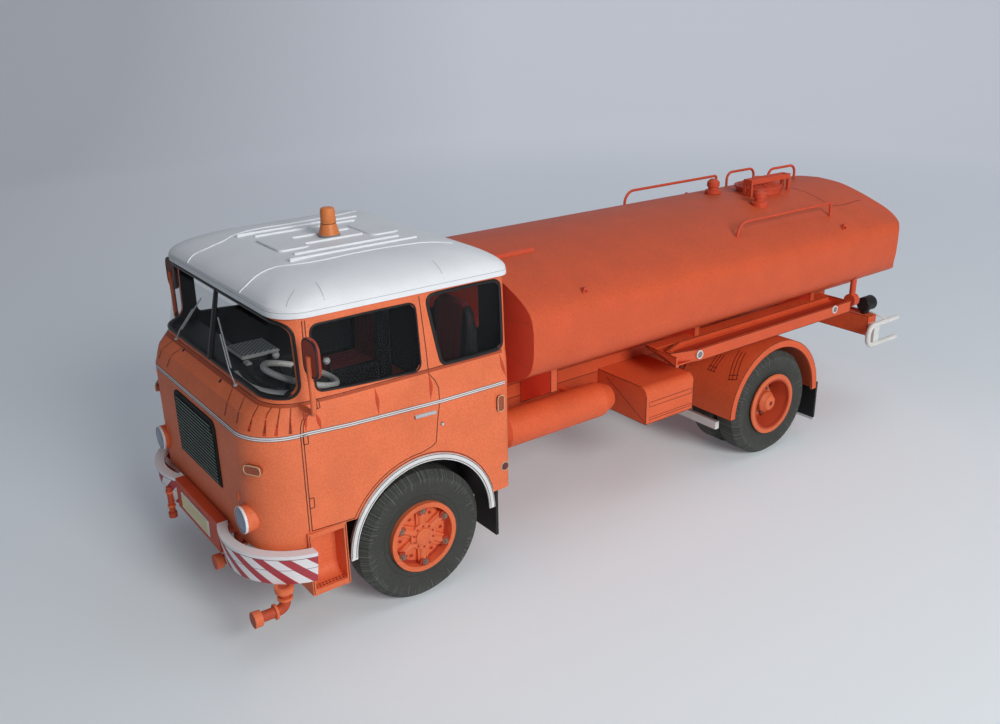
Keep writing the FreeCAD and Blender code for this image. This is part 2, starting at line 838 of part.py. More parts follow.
# Front axle: a dropped beam, upright knuckles and the stubs that carry the wheels
def front_axle_node():
    knuckle = S.front_track_half - S.tyre_width / 2 - S.knuckle_radius - S.seat_gap * 2
    top = AXLE_HEIGHT + S.axle_beam_height / 2
    bottom = top - S.axle_beam_height
    drop = S.axle_drop
    seat_edge = S.rail_offset + S.spring_width
    outline = [(-knuckle, top), (-seat_edge, top - drop), (seat_edge, top - drop), (knuckle, top),
               (knuckle, bottom), (seat_edge, bottom - drop), (-seat_edge, bottom - drop), (-knuckle, bottom)]
    half = S.axle_beam_depth / 2
    beam = prism("front_beam", "XZ", outline, (FRONT_AXLE - half, FRONT_AXLE + half))
    post = rod("front_knuckle", "Z", (knuckle, FRONT_AXLE),
               (bottom - S.knuckle_radius / 2, top + S.knuckle_radius / 2), S.knuckle_radius)
    tip = S.front_track_half + RIM_FACE - S.spoke_set_in - S.spoke_depth / 2
    stub = rod("front_stub", "X", (FRONT_AXLE, AXLE_HEIGHT), (knuckle, tip), S.stub_radius)
    spring_left = S.rail_offset - S.spring_width / 2
    across = (spring_left, spring_left + S.spring_width)
    pad = block("front_spring_seat", across, (FRONT_AXLE - half, FRONT_AXLE + half),
                (top - drop - S.card, top - drop + S.spring_leaf))
    left = fuse("front_spring_seated", spring("front_spring_left", FRONT_AXLE, top - drop), pad)
    keep("front_axle", fuse("front_axle_fused", beam, post, mirrored("front_knuckle_right", post), stub,
                            mirrored("front_stub_right", stub), left, mirrored("front_spring_right", left)))


# Rear axle: a banjo housing, its tubes and stubs, and its springs
def rear_axle_node():
    tip = S.rear_track_half + S.tyre_width
    stub = rod("rear_stub", "X", (REAR_AXLE, AXLE_HEIGHT), (-tip, tip), S.stub_radius)
    reach = S.rear_track_half - S.tyre_width - S.twin_gap / 2 - S.rim_proud - S.seat_gap
    tube = rod("rear_tube", "X", (REAR_AXLE, AXLE_HEIGHT), (-reach, reach), S.rear_tube_radius)
    half = S.banjo_width / 2
    banjo = rod("banjo", "X", (REAR_AXLE, AXLE_HEIGHT), (-half * 0.7, half * 0.7), S.banjo_radius)
    nose = rod("banjo_nose", "Y", (ZERO, AXLE_HEIGHT), (REAR_AXLE - S.banjo_radius - S.propshaft_radius * 2,
                                                        REAR_AXLE), S.propshaft_radius * 2.2)
    left = spring("rear_spring_left", REAR_AXLE, AXLE_HEIGHT + S.rear_tube_radius - S.spring_leaf / 4)
    right = mirrored("rear_spring_right", left)
    keep("rear_axle", fuse("rear_axle_fused", tube, stub, banjo, nose, left, right))


def driveline_nodes():
    half = S.engine_width / 2
    top = S.floor_height - S.seat_gap
    engine = block("engine_block_box", (-half, half), (ahead(S.engine_front), behind(S.engine_back)),
                   (S.engine_bottom, top))
    inside = S.rail_offset - S.rail_width / 2
    mount = block("engine_mount", (-inside, inside), (ahead(S.engine_front / 2), ahead(S.engine_front / 2) + S.rail_width),
                  (S.rail_bottom, S.rail_bottom + S.rail_width / 2))
    gearbox = rod("gearbox", "Y", (ZERO, AXLE_HEIGHT + S.gearbox_radius * 1.5),
                  (behind(S.engine_back), behind(S.engine_back + S.gearbox_length)), S.gearbox_radius,
                  S.gearbox_radius * 0.7)
    keep("engine", fuse("engine_fused", engine, mount, gearbox))
    rear = REAR_AXLE - S.banjo_radius - S.propshaft_radius * 2
    front = behind(S.engine_back + S.gearbox_length)
    drop = S.gearbox_radius * 1.5
    shaft = doc.addObject("Part::Cylinder", "propshaft_rod")
    run = rear - front
    shaft.setExpression("Height", f"sqrt({run.text} * {run.text} + {drop.text} * {drop.text})")
    bind(shaft, Radius=S.propshaft_radius)
    shaft.Placement = FreeCAD.Placement(FreeCAD.Vector(), FreeCAD.Rotation(FreeCAD.Vector(1, 0, 0), -90))
    shaft.setExpression("Placement.Rotation.Axis.x", "1")
    shaft.setExpression("Placement.Rotation.Angle", f"0 - 90 - atan2({drop.text}; {run.text}) / 1 deg")
    place(shaft, ZERO, front, AXLE_HEIGHT + drop)
    keep("propshaft", shaft)


# Tank: one closed body with a domed top, upright sides and a keeled belly
def tank_outline():
    side = S.tank_half_width
    shoulder = side - S.tank_shoulder_in
    chine = side - S.tank_chine_in
    right = [(S.tank_flat_half, S.tank_bottom), (chine, S.tank_chine), (side, S.tank_side_bottom),
             (side, S.tank_side_top), (shoulder, S.tank_shoulder)]
    left = [(-x, z) for x, z in reversed(right)]
    return right + [Via(ZERO, S.tank_crown)] + left


def tank_plan():
    """The tank seen from above: a square front end and a rounded rear end."""
    side, front, back = S.tank_half_width, behind(S.tank_front), behind(S.tank_back)
    turn, start = side - S.tank_rounding, behind(S.tank_side_back)
    across, along = side - S.tank_rounding * 0.2, start + (S.tank_back - S.tank_side_back) * 0.47
    return [(side, front), (side, start), Via(across, along), (turn, back), (-turn, back), Via(-across, along),
            (-side, start), (-side, front)]


def tank_nodes():
    whole = prism("tank_body", "XZ", tank_outline(), (behind(S.tank_front), behind(S.tank_back)))
    plan = prism("tank_ends", "XY", tank_plan(), (S.tank_bottom - S.overrun, S.tank_crown + S.overrun))
    shell = keep("tank_shell", common("tank_rounded", whole, plan))
    web = S.rail_offset + S.rail_width / 2
    inner = S.rail_offset - S.rail_width / 2
    along = (behind(S.tank_front), behind(S.beam_front))
    bearer = block("bearer", (inner, web), along, (S.rail_top, S.tank_bottom))
    cradles = []
    for number in range(3):
        start = behind(S.cradle_first + S.cradle_pitch * number)
        outline = [(web, S.rail_bottom + S.cradle_foot), (S.trough_inner, S.trough_bottom),
                   (S.trough_inner, tank_slope_at(S.trough_inner)), (web, tank_slope_at(web))]
        cradles.append(prism(f"cradle_{number}", "XZ", outline, (start, start + S.cradle_thickness)))
    side = fuse("bearer_left_fused", bearer, *cradles)
    keep("tank_bearer_left", side)
    keep("tank_bearer_right", mirrored("bearer_right", side))
    return shell


def tank_slope_at(offset):
    """Height of the tank's sloping belly at a distance from the middle."""
    ridge = (S.tank_half_width - S.tank_chine_in) - S.tank_flat_half
    rise = S.tank_chine - S.tank_bottom
    reach = offset - S.tank_flat_half
    return Size(S.tank_bottom.value + rise.value * reach.value / ridge.value,
                f"({S.tank_bottom.text} + {rise.text} * {reach.text} / {ridge.text})")


def tank_top_at(offset):
    """Height of the tank's domed top at a distance from the middle."""
    half = S.tank_half_width - S.tank_shoulder_in
    rise = S.tank_crown - S.tank_shoulder
    radius = (half.value ** 2 + rise.value ** 2) / (2 * rise.value)
    drop = radius - math.sqrt(radius ** 2 - offset.value ** 2)
    big = f"(({half.text} * {half.text} + {rise.text} * {rise.text}) / (2 * {rise.text}))"
    fall = f"({big} - sqrt({big} * {big} - {offset.text} * {offset.text}))"
    return Size(S.tank_crown.value - drop, f"({S.tank_crown.text} - {fall})")


# Hatch: a round neck with a slightly coned lid, and the narrow bar frame that stands over it
def hatch_nodes(tank):
    base = S.tank_crown - S.hatch_crown
    top = S.tank_crown + S.hatch_height
    radius = S.hatch_radius
    outline = [(ZERO, base), (radius * 0.9, base), (radius * 0.9, top - S.hatch_crown * 1.4),
               (radius, top - S.hatch_crown * 1.4), (radius, top - S.hatch_crown), (S.hatch_knob_radius, top),
               (S.hatch_knob_radius, top + S.hatch_rib), (ZERO, top + S.hatch_rib)]
    lid = turned("hatch_lid", "XZ", outline, "V_Axis")
    place(lid, S.hatch_offset, behind(S.hatch_at), ZERO)
    keep("tank_hatch", cut("tank_hatch_seated", lid, tank))
    half, reach, bar = S.strap_half_width, S.strap_half_length, S.wire
    middle, left = behind(S.hatch_at), S.hatch_offset + S.strap_offset
    low = top + S.strap_clearance
    high = low + S.strap_thickness
    outer = block("guard_outer", (left - half, left + half), (middle - reach, middle + reach), (low, high))
    inner = block("guard_inner", (left - half + bar, left + half - bar), (middle - reach + bar, middle + reach - bar),
                  (low - bar, high + bar))
    frame = cut("guard_frame", outer, inner)
    foot = tank_top_at(left + half) - bar
    posts = [block(f"guard_post_{tag}", (x, x + bar), (y, y + bar), (foot, low))
             for tag, x, y in (("a", left - half, middle - reach), ("b", left + half - bar, middle - reach),
                               ("c", left - half, middle + reach - bar), ("d", left + half - bar, middle + reach - bar))]
    keep("hatch_guard", cut("hatch_guard_seated", fuse("hatch_guard_fused", frame, *posts), tank))


def fitting_nodes(tank):
    vents = []
    for name, at, offset in (("vent_one", S.vent_one_at, -S.vent_one_offset),
                             ("vent_two", S.vent_two_at, S.vent_two_offset)):
        flange, cap, tall = S.vent_flange_radius, S.vent_cap_radius, S.vent_height
        outline = [(ZERO, -S.wire), (flange, -S.wire), (flange, tall * 0.22), (cap * 0.8, tall * 0.3),
                   (cap * 0.8, tall * 0.45), (cap, tall * 0.5), (cap, tall * 0.8), (cap * 0.5, tall), (ZERO, tall)]
        vents.append(place(turned(name, "XZ", outline, "V_Axis"), offset, behind(at), tank_top_at(offset)))
    radius = S.wire / 2
    start, end = behind(S.hand_rail_front), behind(S.hand_rail_back)
    rails = []
    for tag, offset in (("left", S.hand_rail_offset), ("right", -S.far_rail_offset)):
        foot = tank_top_at(offset)
        high = foot + S.hand_rail_height
        rails.append(bent_bar(f"hand_rail_{tag}", "YZ", offset,
                              [(start, foot - radius), (start, high, S.hand_rail_bend), (end, high, radius * 2),
                               (end, foot - radius)], radius))
    for tag, at, across in (("one", S.loop_one_at, S.loop_one_offset),
                            ("two", S.loop_two_at, S.loop_two_offset)):
        fore, aft = behind(at), behind(at) + S.loop_length
        foot = tank_top_at(across)
        high = foot + S.loop_height
        rails.append(bent_bar(f"grab_loop_{tag}", "YZ", -across,
                              [(fore, foot - radius), (fore, high, S.loop_bend), (aft, high, S.loop_bend),
                               (aft, foot - radius)], radius))
    rails = [cut(bar.Name + "_seated", bar, tank) for bar in rails]
    keep("tank_hand_rails", group("hand_rail_set", *rails))
    lugs = []
    foot = tank_top_at(S.lug_offset)
    half = S.lug_length / 2
    for tag, at in (("front", S.lug_front), ("back", S.lug_back)):
        middle = behind(at)
        outline = [(middle - half, foot - S.lug_height / 2), (middle + half, foot - S.lug_height / 2),
                   (middle + half * 0.4, foot + S.lug_height / 2), (middle - half * 0.4, foot + S.lug_height / 2)]
        plate = prism(f"lug_{tag}_plate", "YZ", outline, (S.lug_offset - S.card / 2, S.lug_offset + S.card / 2))
        eye = rod(f"lug_{tag}_eye", "X", (middle, foot + S.lug_hole_radius / 2),
                  (S.lug_offset - S.card, S.lug_offset + S.card), S.lug_hole_radius)
        lugs.append(cut(f"lug_{tag}", plate, eye, tank))
    set_left = group("lugs_left", *lugs)
    keep("lifting_lugs", pair("lug_set", set_left))
    foot = tank_top_at(S.socket_offset)
    socket = rod("pole_socket_rod", "Y", (S.socket_offset, foot), (behind(S.socket_from), behind(S.socket_to)),
                 S.socket_radius)
    across, high = S.outlet_offset, tank_slope_at(S.outlet_offset) + S.outlet_pipe_radius
    outlet = rod("outlet_disc", "Y", (across, S.outlet_height),
                 (behind(S.outlet_at), behind(S.outlet_at) + S.outlet_length), S.outlet_radius)
    pipe = rod("outlet_pipe", "Z", (across, behind(S.outlet_at) + S.outlet_length / 2),
               (S.outlet_height, high), S.outlet_pipe_radius)
    outlet = fuse("outlet_left", outlet, pipe)
    pieces = (socket, *vents, outlet, mirrored("outlet_right", outlet))
    seated = [cut(piece.Name + "_seated", piece, tank) for piece in pieces]
    keep("tank_fittings", group("fitting_set", *seated))


# Hose troughs: open trays with a boat-shaped front end, one along each side
def trough_nodes():
    outer, inner = S.trough_outer, S.trough_inner
    front, back = behind(S.trough_front), behind(S.trough_back)
    taper = S.trough_taper
    low, high = S.trough_bottom, S.trough_bottom + S.trough_height
    outline = [(inner, back), (inner, front + taper), (inner + taper * 0.4, front), (outer - taper * 0.3, front),
               (outer, front + taper), (outer, back)]
    tray = prism("trough_tray", "XY", outline, (low, high))
    wall = S.card
    space = [(inner + wall, back - wall), (inner + wall, front + taper), (inner + taper * 0.4, front + wall * 1.6),
             (outer - taper * 0.3, front + wall * 1.6), (outer - wall, front + taper), (outer - wall, back - wall)]
    room = prism("trough_room", "XY", space, (low + wall, high + S.overrun))
    tray = cut("trough_left", tray, room)
    keep("hose_trough_left", tray)
    keep("hose_trough_right", mirrored("trough_right", tray))


# Rear mudguards: a rolled sheet over the twin wheels with a lip down its outer side
def mudguard_nodes():
    centre = REAR_AXLE + S.guard_arc_behind
    height = AXLE_HEIGHT
    radius = S.guard_arc_radius
    inner = S.rail_offset + S.rail_width / 2
    drum = rod("guard_drum", "X", (centre, height), (inner, S.guard_arc_outer), radius)
    room = rod("guard_room", "X", (centre, height), (inner - S.overrun, S.guard_arc_outer - S.card),
               radius - S.card)
    eye = rod("guard_mouth", "X", (centre, height), (inner, S.guard_arc_outer + S.overrun),
              radius - S.guard_lip)
    below = block("guard_below", (inner - S.overrun, S.guard_arc_outer + S.overrun),
                  (centre - radius * 2, centre + radius * 2), (height - radius * 2, height))
    guard = cut("mudguard_left", drum, room, eye, below)
    keep("rear_mudguard_left", guard)
    keep("rear_mudguard_right", mirrored("mudguard_right", guard))
    half = S.flap_width / 2
    middle = S.guard_arc_outer - half
    hung = centre + radius
    flap = block("rear_flap", (middle - half, middle + half), (hung, hung + S.card),
                 (S.rear_flap_bottom, S.rear_flap_top))
    middle = S.cab_half_width - S.card - half
    front = block("front_flap", (middle - half, middle + half),
                  (behind(S.front_flap_at), behind(S.front_flap_at) + S.card), (S.front_flap_bottom, S.front_flap_top))
    keep("mud_flaps", group("flap_set", flap, mirrored("rear_flap_right", flap), front,
                            mirrored("front_flap_right", front)))


# Tool boxes and storage tubes hung on the outside of the rails
def side_box_nodes():
    rail = S.rail_offset + S.rail_width / 2
    front, back = behind(S.box_front), behind(S.box_back)
    outline = [(rail, S.box_bottom), (S.box_outer, S.box_bottom), (S.box_outer, S.box_top, S.box_shoulder),
               (rail, S.box_top)]
    box = prism("tool_box", "XZ", outline, (front, back))
    keep("tool_box_left", box)
    keep("tool_box_right", mirrored("tool_box_mirror", box))
    radius, across, middle = S.drum_half_width, S.drum_offset, S.drum_middle_height
    front, back = behind(S.drum_front), behind(S.drum_back)
    outline = [(front, ZERO), (front, radius - S.drum_nose_taper), (front + S.drum_nose_taper, radius),
               (back - S.drum_tail_taper, radius), (back, radius - S.drum_nose_taper), (back, ZERO)]
    drum = place(turned("storage_drum", "YZ", outline, "H_Axis"), across, ZERO, middle)
    arms = [block(f"drum_arm_{number}", (rail, across), (spot, spot + S.drum_strap),
                  (middle - S.drum_strap, middle + S.drum_strap))
            for number, spot in enumerate((front + radius, back - radius * 2))]
    tube = fuse("storage_tube", drum, *arms)
    keep("storage_tube_left", tube)
    keep("storage_tube_right", mirrored("storage_tube_mirror", tube))


# Rear end: cross beam, bent tube guards, lamps, tow jaw, and the low bars ahead of the rear wheels
def rear_nodes():
    front, back = behind(S.beam_front), behind(S.beam_front) + S.beam_depth
    half = S.beam_half_length
    keep("rear_beam", block("rear_beam_box", (-half, half), (front, back), (S.beam_bottom, S.beam_top)))
    radius = S.hoop_bar / 2
    start, end = behind(S.hoop_front) + radius, behind(S.hoop_back)
    hoop = bent_bar("tail_hoop", "YZ", S.hoop_offset,
                    [(end, S.hoop_high), (start, S.hoop_high, S.hoop_bend), (start, S.hoop_low, S.hoop_bend),
                     (end, S.hoop_low)], radius)
    foot = block("tail_hoop_foot", (half, S.hoop_offset), (front + S.card, back - S.card),
                 (S.hoop_low, S.hoop_high))
    keep("tail_guards", pair("tail_guard_set", fuse("tail_guard", hoop, foot)))
    spot = (S.lamp_offset, S.lamp_height_up)
    lamp_front = front + S.lamp_foot
    drum = rod("tail_lamp", "Y", spot, (lamp_front, lamp_front + S.lamp_length), S.lamp_radius)
    stem = block("tail_lamp_stem", (S.lamp_offset - S.lamp_foot / 2, S.lamp_offset + S.lamp_foot / 2),
                 (lamp_front, back), (S.beam_top, S.lamp_height_up))
    keep("tail_lamps", pair("tail_lamp_set", fuse("tail_lamp_left", drum, stem)))
    wide, tall, slot = S.jaw_width / 2, S.jaw_height / 2, S.jaw_slot / 2
    middle = (S.beam_bottom + S.beam_top) / 2
    jaw = block("jaw_body", (-wide, wide), (back, back + S.jaw_length), (middle - tall, middle + tall))
    mouth = block("jaw_mouth", (-wide - S.overrun, wide + S.overrun),
                  (back + S.jaw_slot, back + S.jaw_length + S.overrun), (middle - slot, middle + slot))
    bore = rod("jaw_bore", "Z", (ZERO, back + S.jaw_length * 0.62), (middle - tall * 2, middle + tall * 2),
               S.jaw_pin_radius)
    keep("tow_jaw", cut("tow_jaw_cut", jaw, mouth, bore))
    inner = S.rail_offset - S.rail_width / 2
    bar = block("spray_bar", (inner, S.bar_outer), (behind(S.bar_front), behind(S.bar_front) + S.bar_depth),
                (S.bar_bottom, S.bar_bottom + S.bar_height))
    arm = block("spray_bar_arm", (inner, inner + S.bar_depth),
                (behind(S.bar_front), behind(S.bar_front) + S.bar_depth), (S.bar_bottom, S.rail_bottom))
    keep("spray_bars", pair("spray_bar_set", fuse("spray_bar_left", bar, arm)))


# Cab shell: level outlines with rounded front corners, lofted from the skirt to the header
def cab_outline(front, nose_half, half, corner, inset):
    front, back = ahead(front) + inset, behind(S.cab_back) - inset
    nose_half, half = nose_half - inset, half - inset
    taper = ahead(S.cab_taper_start)
    corner, rear = corner - inset, S.cab_rear_corner - inset
    right = [(half, taper), (half, back, rear)]
    left = [(-half, back, rear), (-half, taper)]
    return [(nose_half, front, corner)] + right + left + [(-nose_half, front, corner)]


def cab_solid(name, inset, bottom, top):
    half, lean = S.cab_half_width, S.cab_nose_inset
    shoulder, belt, header = half - S.shoulder_inset, half - S.belt_inset, half - S.header_inset
    levels = ((bottom, S.cab_front, half - lean, half, S.cab_corner),
              (S.stripe_height, S.cab_front, half - lean, half, S.cab_corner),
              (S.shoulder_height, S.shoulder_front, shoulder - lean, shoulder, (S.cab_corner + S.belt_corner) / 2),
              (S.belt_height, S.belt_front, belt - lean / 2, belt, S.belt_corner),
              (top, S.header_front, header - lean / 4, header, S.header_corner))
    return lofted(name, [(height, cab_outline(front, nose, half, corner, inset))
                         for height, front, nose, half, corner in levels])


def window_tools():
    """Solids that pass through the cab where its windows are."""
    reach = S.cab_half_width + S.overrun
    nose = ahead(S.cab_front) - S.overrun
    corner = S.window_corner
    low, high = S.belt_height + S.screen_sill, S.header_height - S.screen_head
    gap = S.screen_divider / 2
    pane = prism("screen_front", "XZ", [(gap, low), (reach, low), (reach, high), (gap, high)],
                 (nose, ahead(S.door_glass_front)))
    end = ahead(S.screen_side_back)
    side = prism("screen_side", "YZ", [(nose, low), (end, low, S.screen_corner), (end, high, S.screen_corner),
                                       (nose, high)], (ZERO, reach))
    right = common("screen_pane", pane, side)
    front, back = ahead(S.door_glass_front), behind(S.door_glass_back)
    head = S.header_height - S.door_head
    door = [(front, S.belt_height + S.door_sill_front, corner), (back, S.belt_height + S.door_sill_back, corner),
            (back - corner / 4, head, corner), (front, head, corner)]
    door = prism("door_pane", "YZ", door, (-reach, reach))
    sill, head = S.belt_height + S.quarter_sill, S.header_height - S.quarter_head
    back = behind(S.quarter_back)
    quarter = [(behind(S.quarter_front_bottom), sill, corner), (back, sill, corner), (back, head, corner),
               (behind(S.quarter_front_top), head, corner)]
    quarter = prism("quarter_pane", "YZ", quarter, (-reach, reach))
    half = S.rear_glass_half
    rear = prism("rear_pane", "XZ", [(-half, low, corner), (half, low, corner), (half, high, corner),
                                     (-half, high, corner)],
                 (behind(S.cab_back) - S.overrun, behind(S.cab_back) + S.overrun))
    return right, mirrored("screen_pane_right", right), door, quarter, rear


def cab_nodes():
    outer = cab_solid("cab_outer", ZERO, S.cab_bottom, S.header_height)
    inner = cab_solid("cab_inner", S.card, S.cab_bottom - S.overrun, S.header_height + S.overrun)
    panes = window_tools()
    reach = S.cab_half_width + S.overrun
    arch = rod("cab_arch", "X", (behind(S.arch_back), S.arch_height), (-reach, reach), S.arch_radius)
    skirt = [(ahead(S.cab_front) - S.overrun, S.cab_bottom - S.overrun),
             (ahead(S.cab_front) - S.overrun, S.skirt_front_height), (ahead(S.skirt_step_front), S.skirt_front_height),
             (ahead(S.skirt_step_front), S.skirt_step_height), (FRONT_AXLE, S.skirt_step_height),
             (FRONT_AXLE, S.cab_bottom - S.overrun)]
    skirt = prism("cab_skirt_cut", "YZ", skirt, (-reach, reach))
    half = S.rail_offset + S.rail_width / 2 + S.seat_gap
    passage = block("cab_rail_passage", (-half, half), (behind(S.cab_mount_back), behind(S.cab_back) + S.overrun),
                    (S.cab_bottom - S.overrun, S.floor_height))
    keep("cab_body", cut("cab_body_cut", outer, inner, arch, skirt, passage, *panes))
    return outer, panes


def glass_nodes(panes):
    outside = cab_solid("glass_outer", S.glass_set, S.cab_bottom, S.header_height)
    inside = cab_solid("glass_inner", S.glass_set + S.glass_thickness, S.cab_bottom - S.overrun,
                       S.header_height + S.overrun)
    film = cut("glass_film", outside, inside)
    keep("cab_glass", common("cab_glass_panes", film, group("pane_tools", *panes)))


# Cab roof: a gutter band and a dome, hollow, with pressed ribs and two raised panels
def roof_outline(inset, front_inset, back_inset, round_off):
    lap = S.roof_lap
    front = ahead(S.header_front + lap) + front_inset
    back = behind(S.cab_back) + lap - back_inset
    half = S.cab_half_width - S.header_inset + lap - inset
    corner = S.header_corner + lap + round_off
    rear = S.cab_rear_corner + lap + round_off
    taper = ahead(S.cab_taper_start)
    nose = half - S.cab_nose_inset / 4
    return [(nose, front, corner), (half, taper), (half, back, rear), (-half, back, rear), (-half, taper),
            (-nose, front, corner)]


DOME_SHARES = ((0.36, 0.09), (0.66, 0.27), (0.88, 0.58), (1.0, 1.0))
LINING_SHARES = ((0.36, 0.09), (1.0, 1.0))


def roof_solid(name, wall, bottom, shares):
    band = S.header_height + S.gutter_height
    rise = S.roof_rise - S.gutter_height
    levels = [(bottom, roof_outline(wall, wall, wall, -wall)), (band, roof_outline(wall, wall, wall, -wall))]
    for high_share, inset_share in shares:
        levels.append((band + rise * high_share - wall,
                       roof_outline(S.dome_side_inset * inset_share + wall, S.dome_front_inset * inset_share + wall,
                                    S.dome_back_inset * inset_share + wall, -wall)))
    return lofted(name, levels)


def roof_nodes():
    outer = roof_solid("roof_outer", ZERO, S.header_height, DOME_SHARES)
    inner = roof_solid("roof_inner", S.card + S.roof_lap, S.header_height - S.overrun, LINING_SHARES)
    shell = cut("roof_shell", outer, inner)
    top = S.header_height + S.roof_rise
    low = top - S.card / 2
    high = top + S.roof_rib_height
    ribs = []
    for tag, offset, front, back in (("outer", S.outer_rib_offset, S.outer_rib_front, S.outer_rib_back),
                                     ("middle", S.middle_rib_offset, S.middle_rib_front, S.middle_rib_back),
                                     ("inner", S.inner_rib_offset, S.inner_rib_front, S.inner_rib_back)):
        half = S.roof_rib_width / 2
        rib = block(f"roof_rib_{tag}", (offset - half, offset + half), (ahead(front), behind(back)), (low, high))
        ribs += [rib, mirrored(f"roof_rib_{tag}_right", rib)]
    half, corner = S.roof_panel_half, S.roof_panel_corner
    for tag, start in (("front", ahead(S.roof_panel_front)), ("back", behind(S.roof_panel_back))):
        end = start + S.roof_panel_length
        outline = [(-half, start, corner), (half, start, corner), (half, end, corner), (-half, end, corner)]
        ribs.append(prism(f"roof_panel_{tag}", "XY", outline, (low, high)))
    keep("cab_roof", fuse("cab_roof_fused", shell, *ribs))
    base, waist, tip, tall = S.beacon_base_radius, S.beacon_waist_radius, S.beacon_top_radius, S.beacon_height
    outline = [(ZERO, ZERO), (base, ZERO), (base, S.beacon_ring_height), (base * 0.8, S.beacon_ring_height),
               (waist, tall * 0.45), (tip, tall * 0.6), (tip, tall * 0.88), (tip * 0.6, tall), (ZERO, tall)]
    beacon = turned("beacon_turned", "XZ", outline, "V_Axis")
    keep("beacon", place(beacon, ZERO, ahead(S.beacon_ahead), top))


# Cab inside: floor, dashboard, ribbed engine cover, two seats and the steering wheel
def cab_inside_nodes():
    wall = S.card
    nose = S.cab_half_width - S.cab_nose_inset
    outline = cab_outline(S.cab_front, nose, S.cab_half_width, S.cab_corner, wall)
    plate = prism("cab_floor_plate", "XY", outline, (S.floor_height, S.floor_height + wall))
    rail = (S.rail_offset - S.rail_width / 2, S.rail_offset + S.rail_width / 2)
    mounts = [block(f"cab_mount_{tag}", rail, (start, start + S.rail_width), (S.rail_top, S.floor_height))
              for tag, start in (("front", ahead(S.cab_mount_front)), ("back", behind(S.cab_mount_back)))]
    mounts += [mirrored(mount.Name + "_right", mount) for mount in mounts]
    keep("cab_floor", fuse("cab_floor_fused", plate, *mounts))
    floor = S.floor_height + wall
    front = ahead(S.belt_front) + wall
    half = S.cab_half_width - S.belt_inset - S.cab_nose_inset / 2 - wall
    dash = [(half, front, S.belt_corner - wall), (half, ahead(S.dash_back)), (-half, ahead(S.dash_back)),
            (-half, front, S.belt_corner - wall)]
    keep("dashboard", prism("dashboard_pad", "XY", dash, (S.dash_bottom, S.dash_top - wall)))
    rear = behind(S.cover_back)
    cover = [(ahead(S.cover_front), floor), (rear, floor), (rear, S.cover_top - wall * 2),
             (ahead(S.cover_front), S.cover_top)]
    keep("engine_cover", prism("engine_cover_pad", "YZ", cover, (-S.cover_half_width, S.cover_half_width)))
    left, right = S.cover_half_width + S.seat_cover_gap, S.cab_half_width - S.seat_wall_gap
    top = S.header_height - S.backrest_drop
    back = behind(S.seat_back)
    lean = S.backrest_thickness / 2
    profile = [(ahead(S.seat_front), S.cushion_bottom), (back, S.cushion_bottom), (back + lean, top, wall),
               (back + lean - S.backrest_thickness, top, wall),
               (back - S.backrest_thickness, S.cushion_top), (ahead(S.seat_front), S.cushion_top, wall)]
    seat = prism("seat_pad", "YZ", profile, (left, right))
    base = block("seat_base", (left + S.seat_base_inset, right - S.seat_base_inset),
                 (FRONT_AXLE, back - wall), (floor, S.cushion_bottom))
    keep("seats", pair("seat_set", fuse("seat_left", seat, base)))
    thick = S.wheel_ring_tube
    near, far = S.wheel_ring_radius - thick, S.wheel_ring_radius + thick
    ring = turned("wheel_ring", "XZ", [(near, -thick), (far, -thick), (far, thick), (near, thick)], "V_Axis")
    hub = doc.addObject("Part::Cylinder", "wheel_column")
    bind(hub, Radius=S.column_radius, Height=S.column_length)
    hub.setExpression("Placement.Base.z", (-S.column_length).text)
    spokes = []
    for number in range(2):
        spoke = doc.addObject("Part::Box", f"wheel_spoke_{number}")
        bind(spoke, Length=S.wheel_ring_radius * 2, Width=S.column_radius, Height=S.wheel_ring_tube)
        place(spoke, -S.wheel_ring_radius, -(S.column_radius / 2), -(S.wheel_ring_tube / 2))
        spokes.append(spoke)
    spokes[1].Placement = FreeCAD.Placement(FreeCAD.Vector(), FreeCAD.Rotation(FreeCAD.Vector(0, 0, 1), 90))
    place(spokes[1], S.column_radius / 2, -S.wheel_ring_radius, -(S.wheel_ring_tube / 2),
          turn=FreeCAD.Rotation(FreeCAD.Vector(0, 0, 1), 90))
    wheel = fuse("steering_wheel_fused", ring, hub, *spokes)
    tilt = FreeCAD.Rotation(FreeCAD.Vector(1, 0, 0), -S.wheel_tilt.value)
    place(wheel, (left + right) / 2, ahead(S.wheel_centre_ahead), S.wheel_centre_height, turn=tilt)
    keep("steering_wheel", wheel)


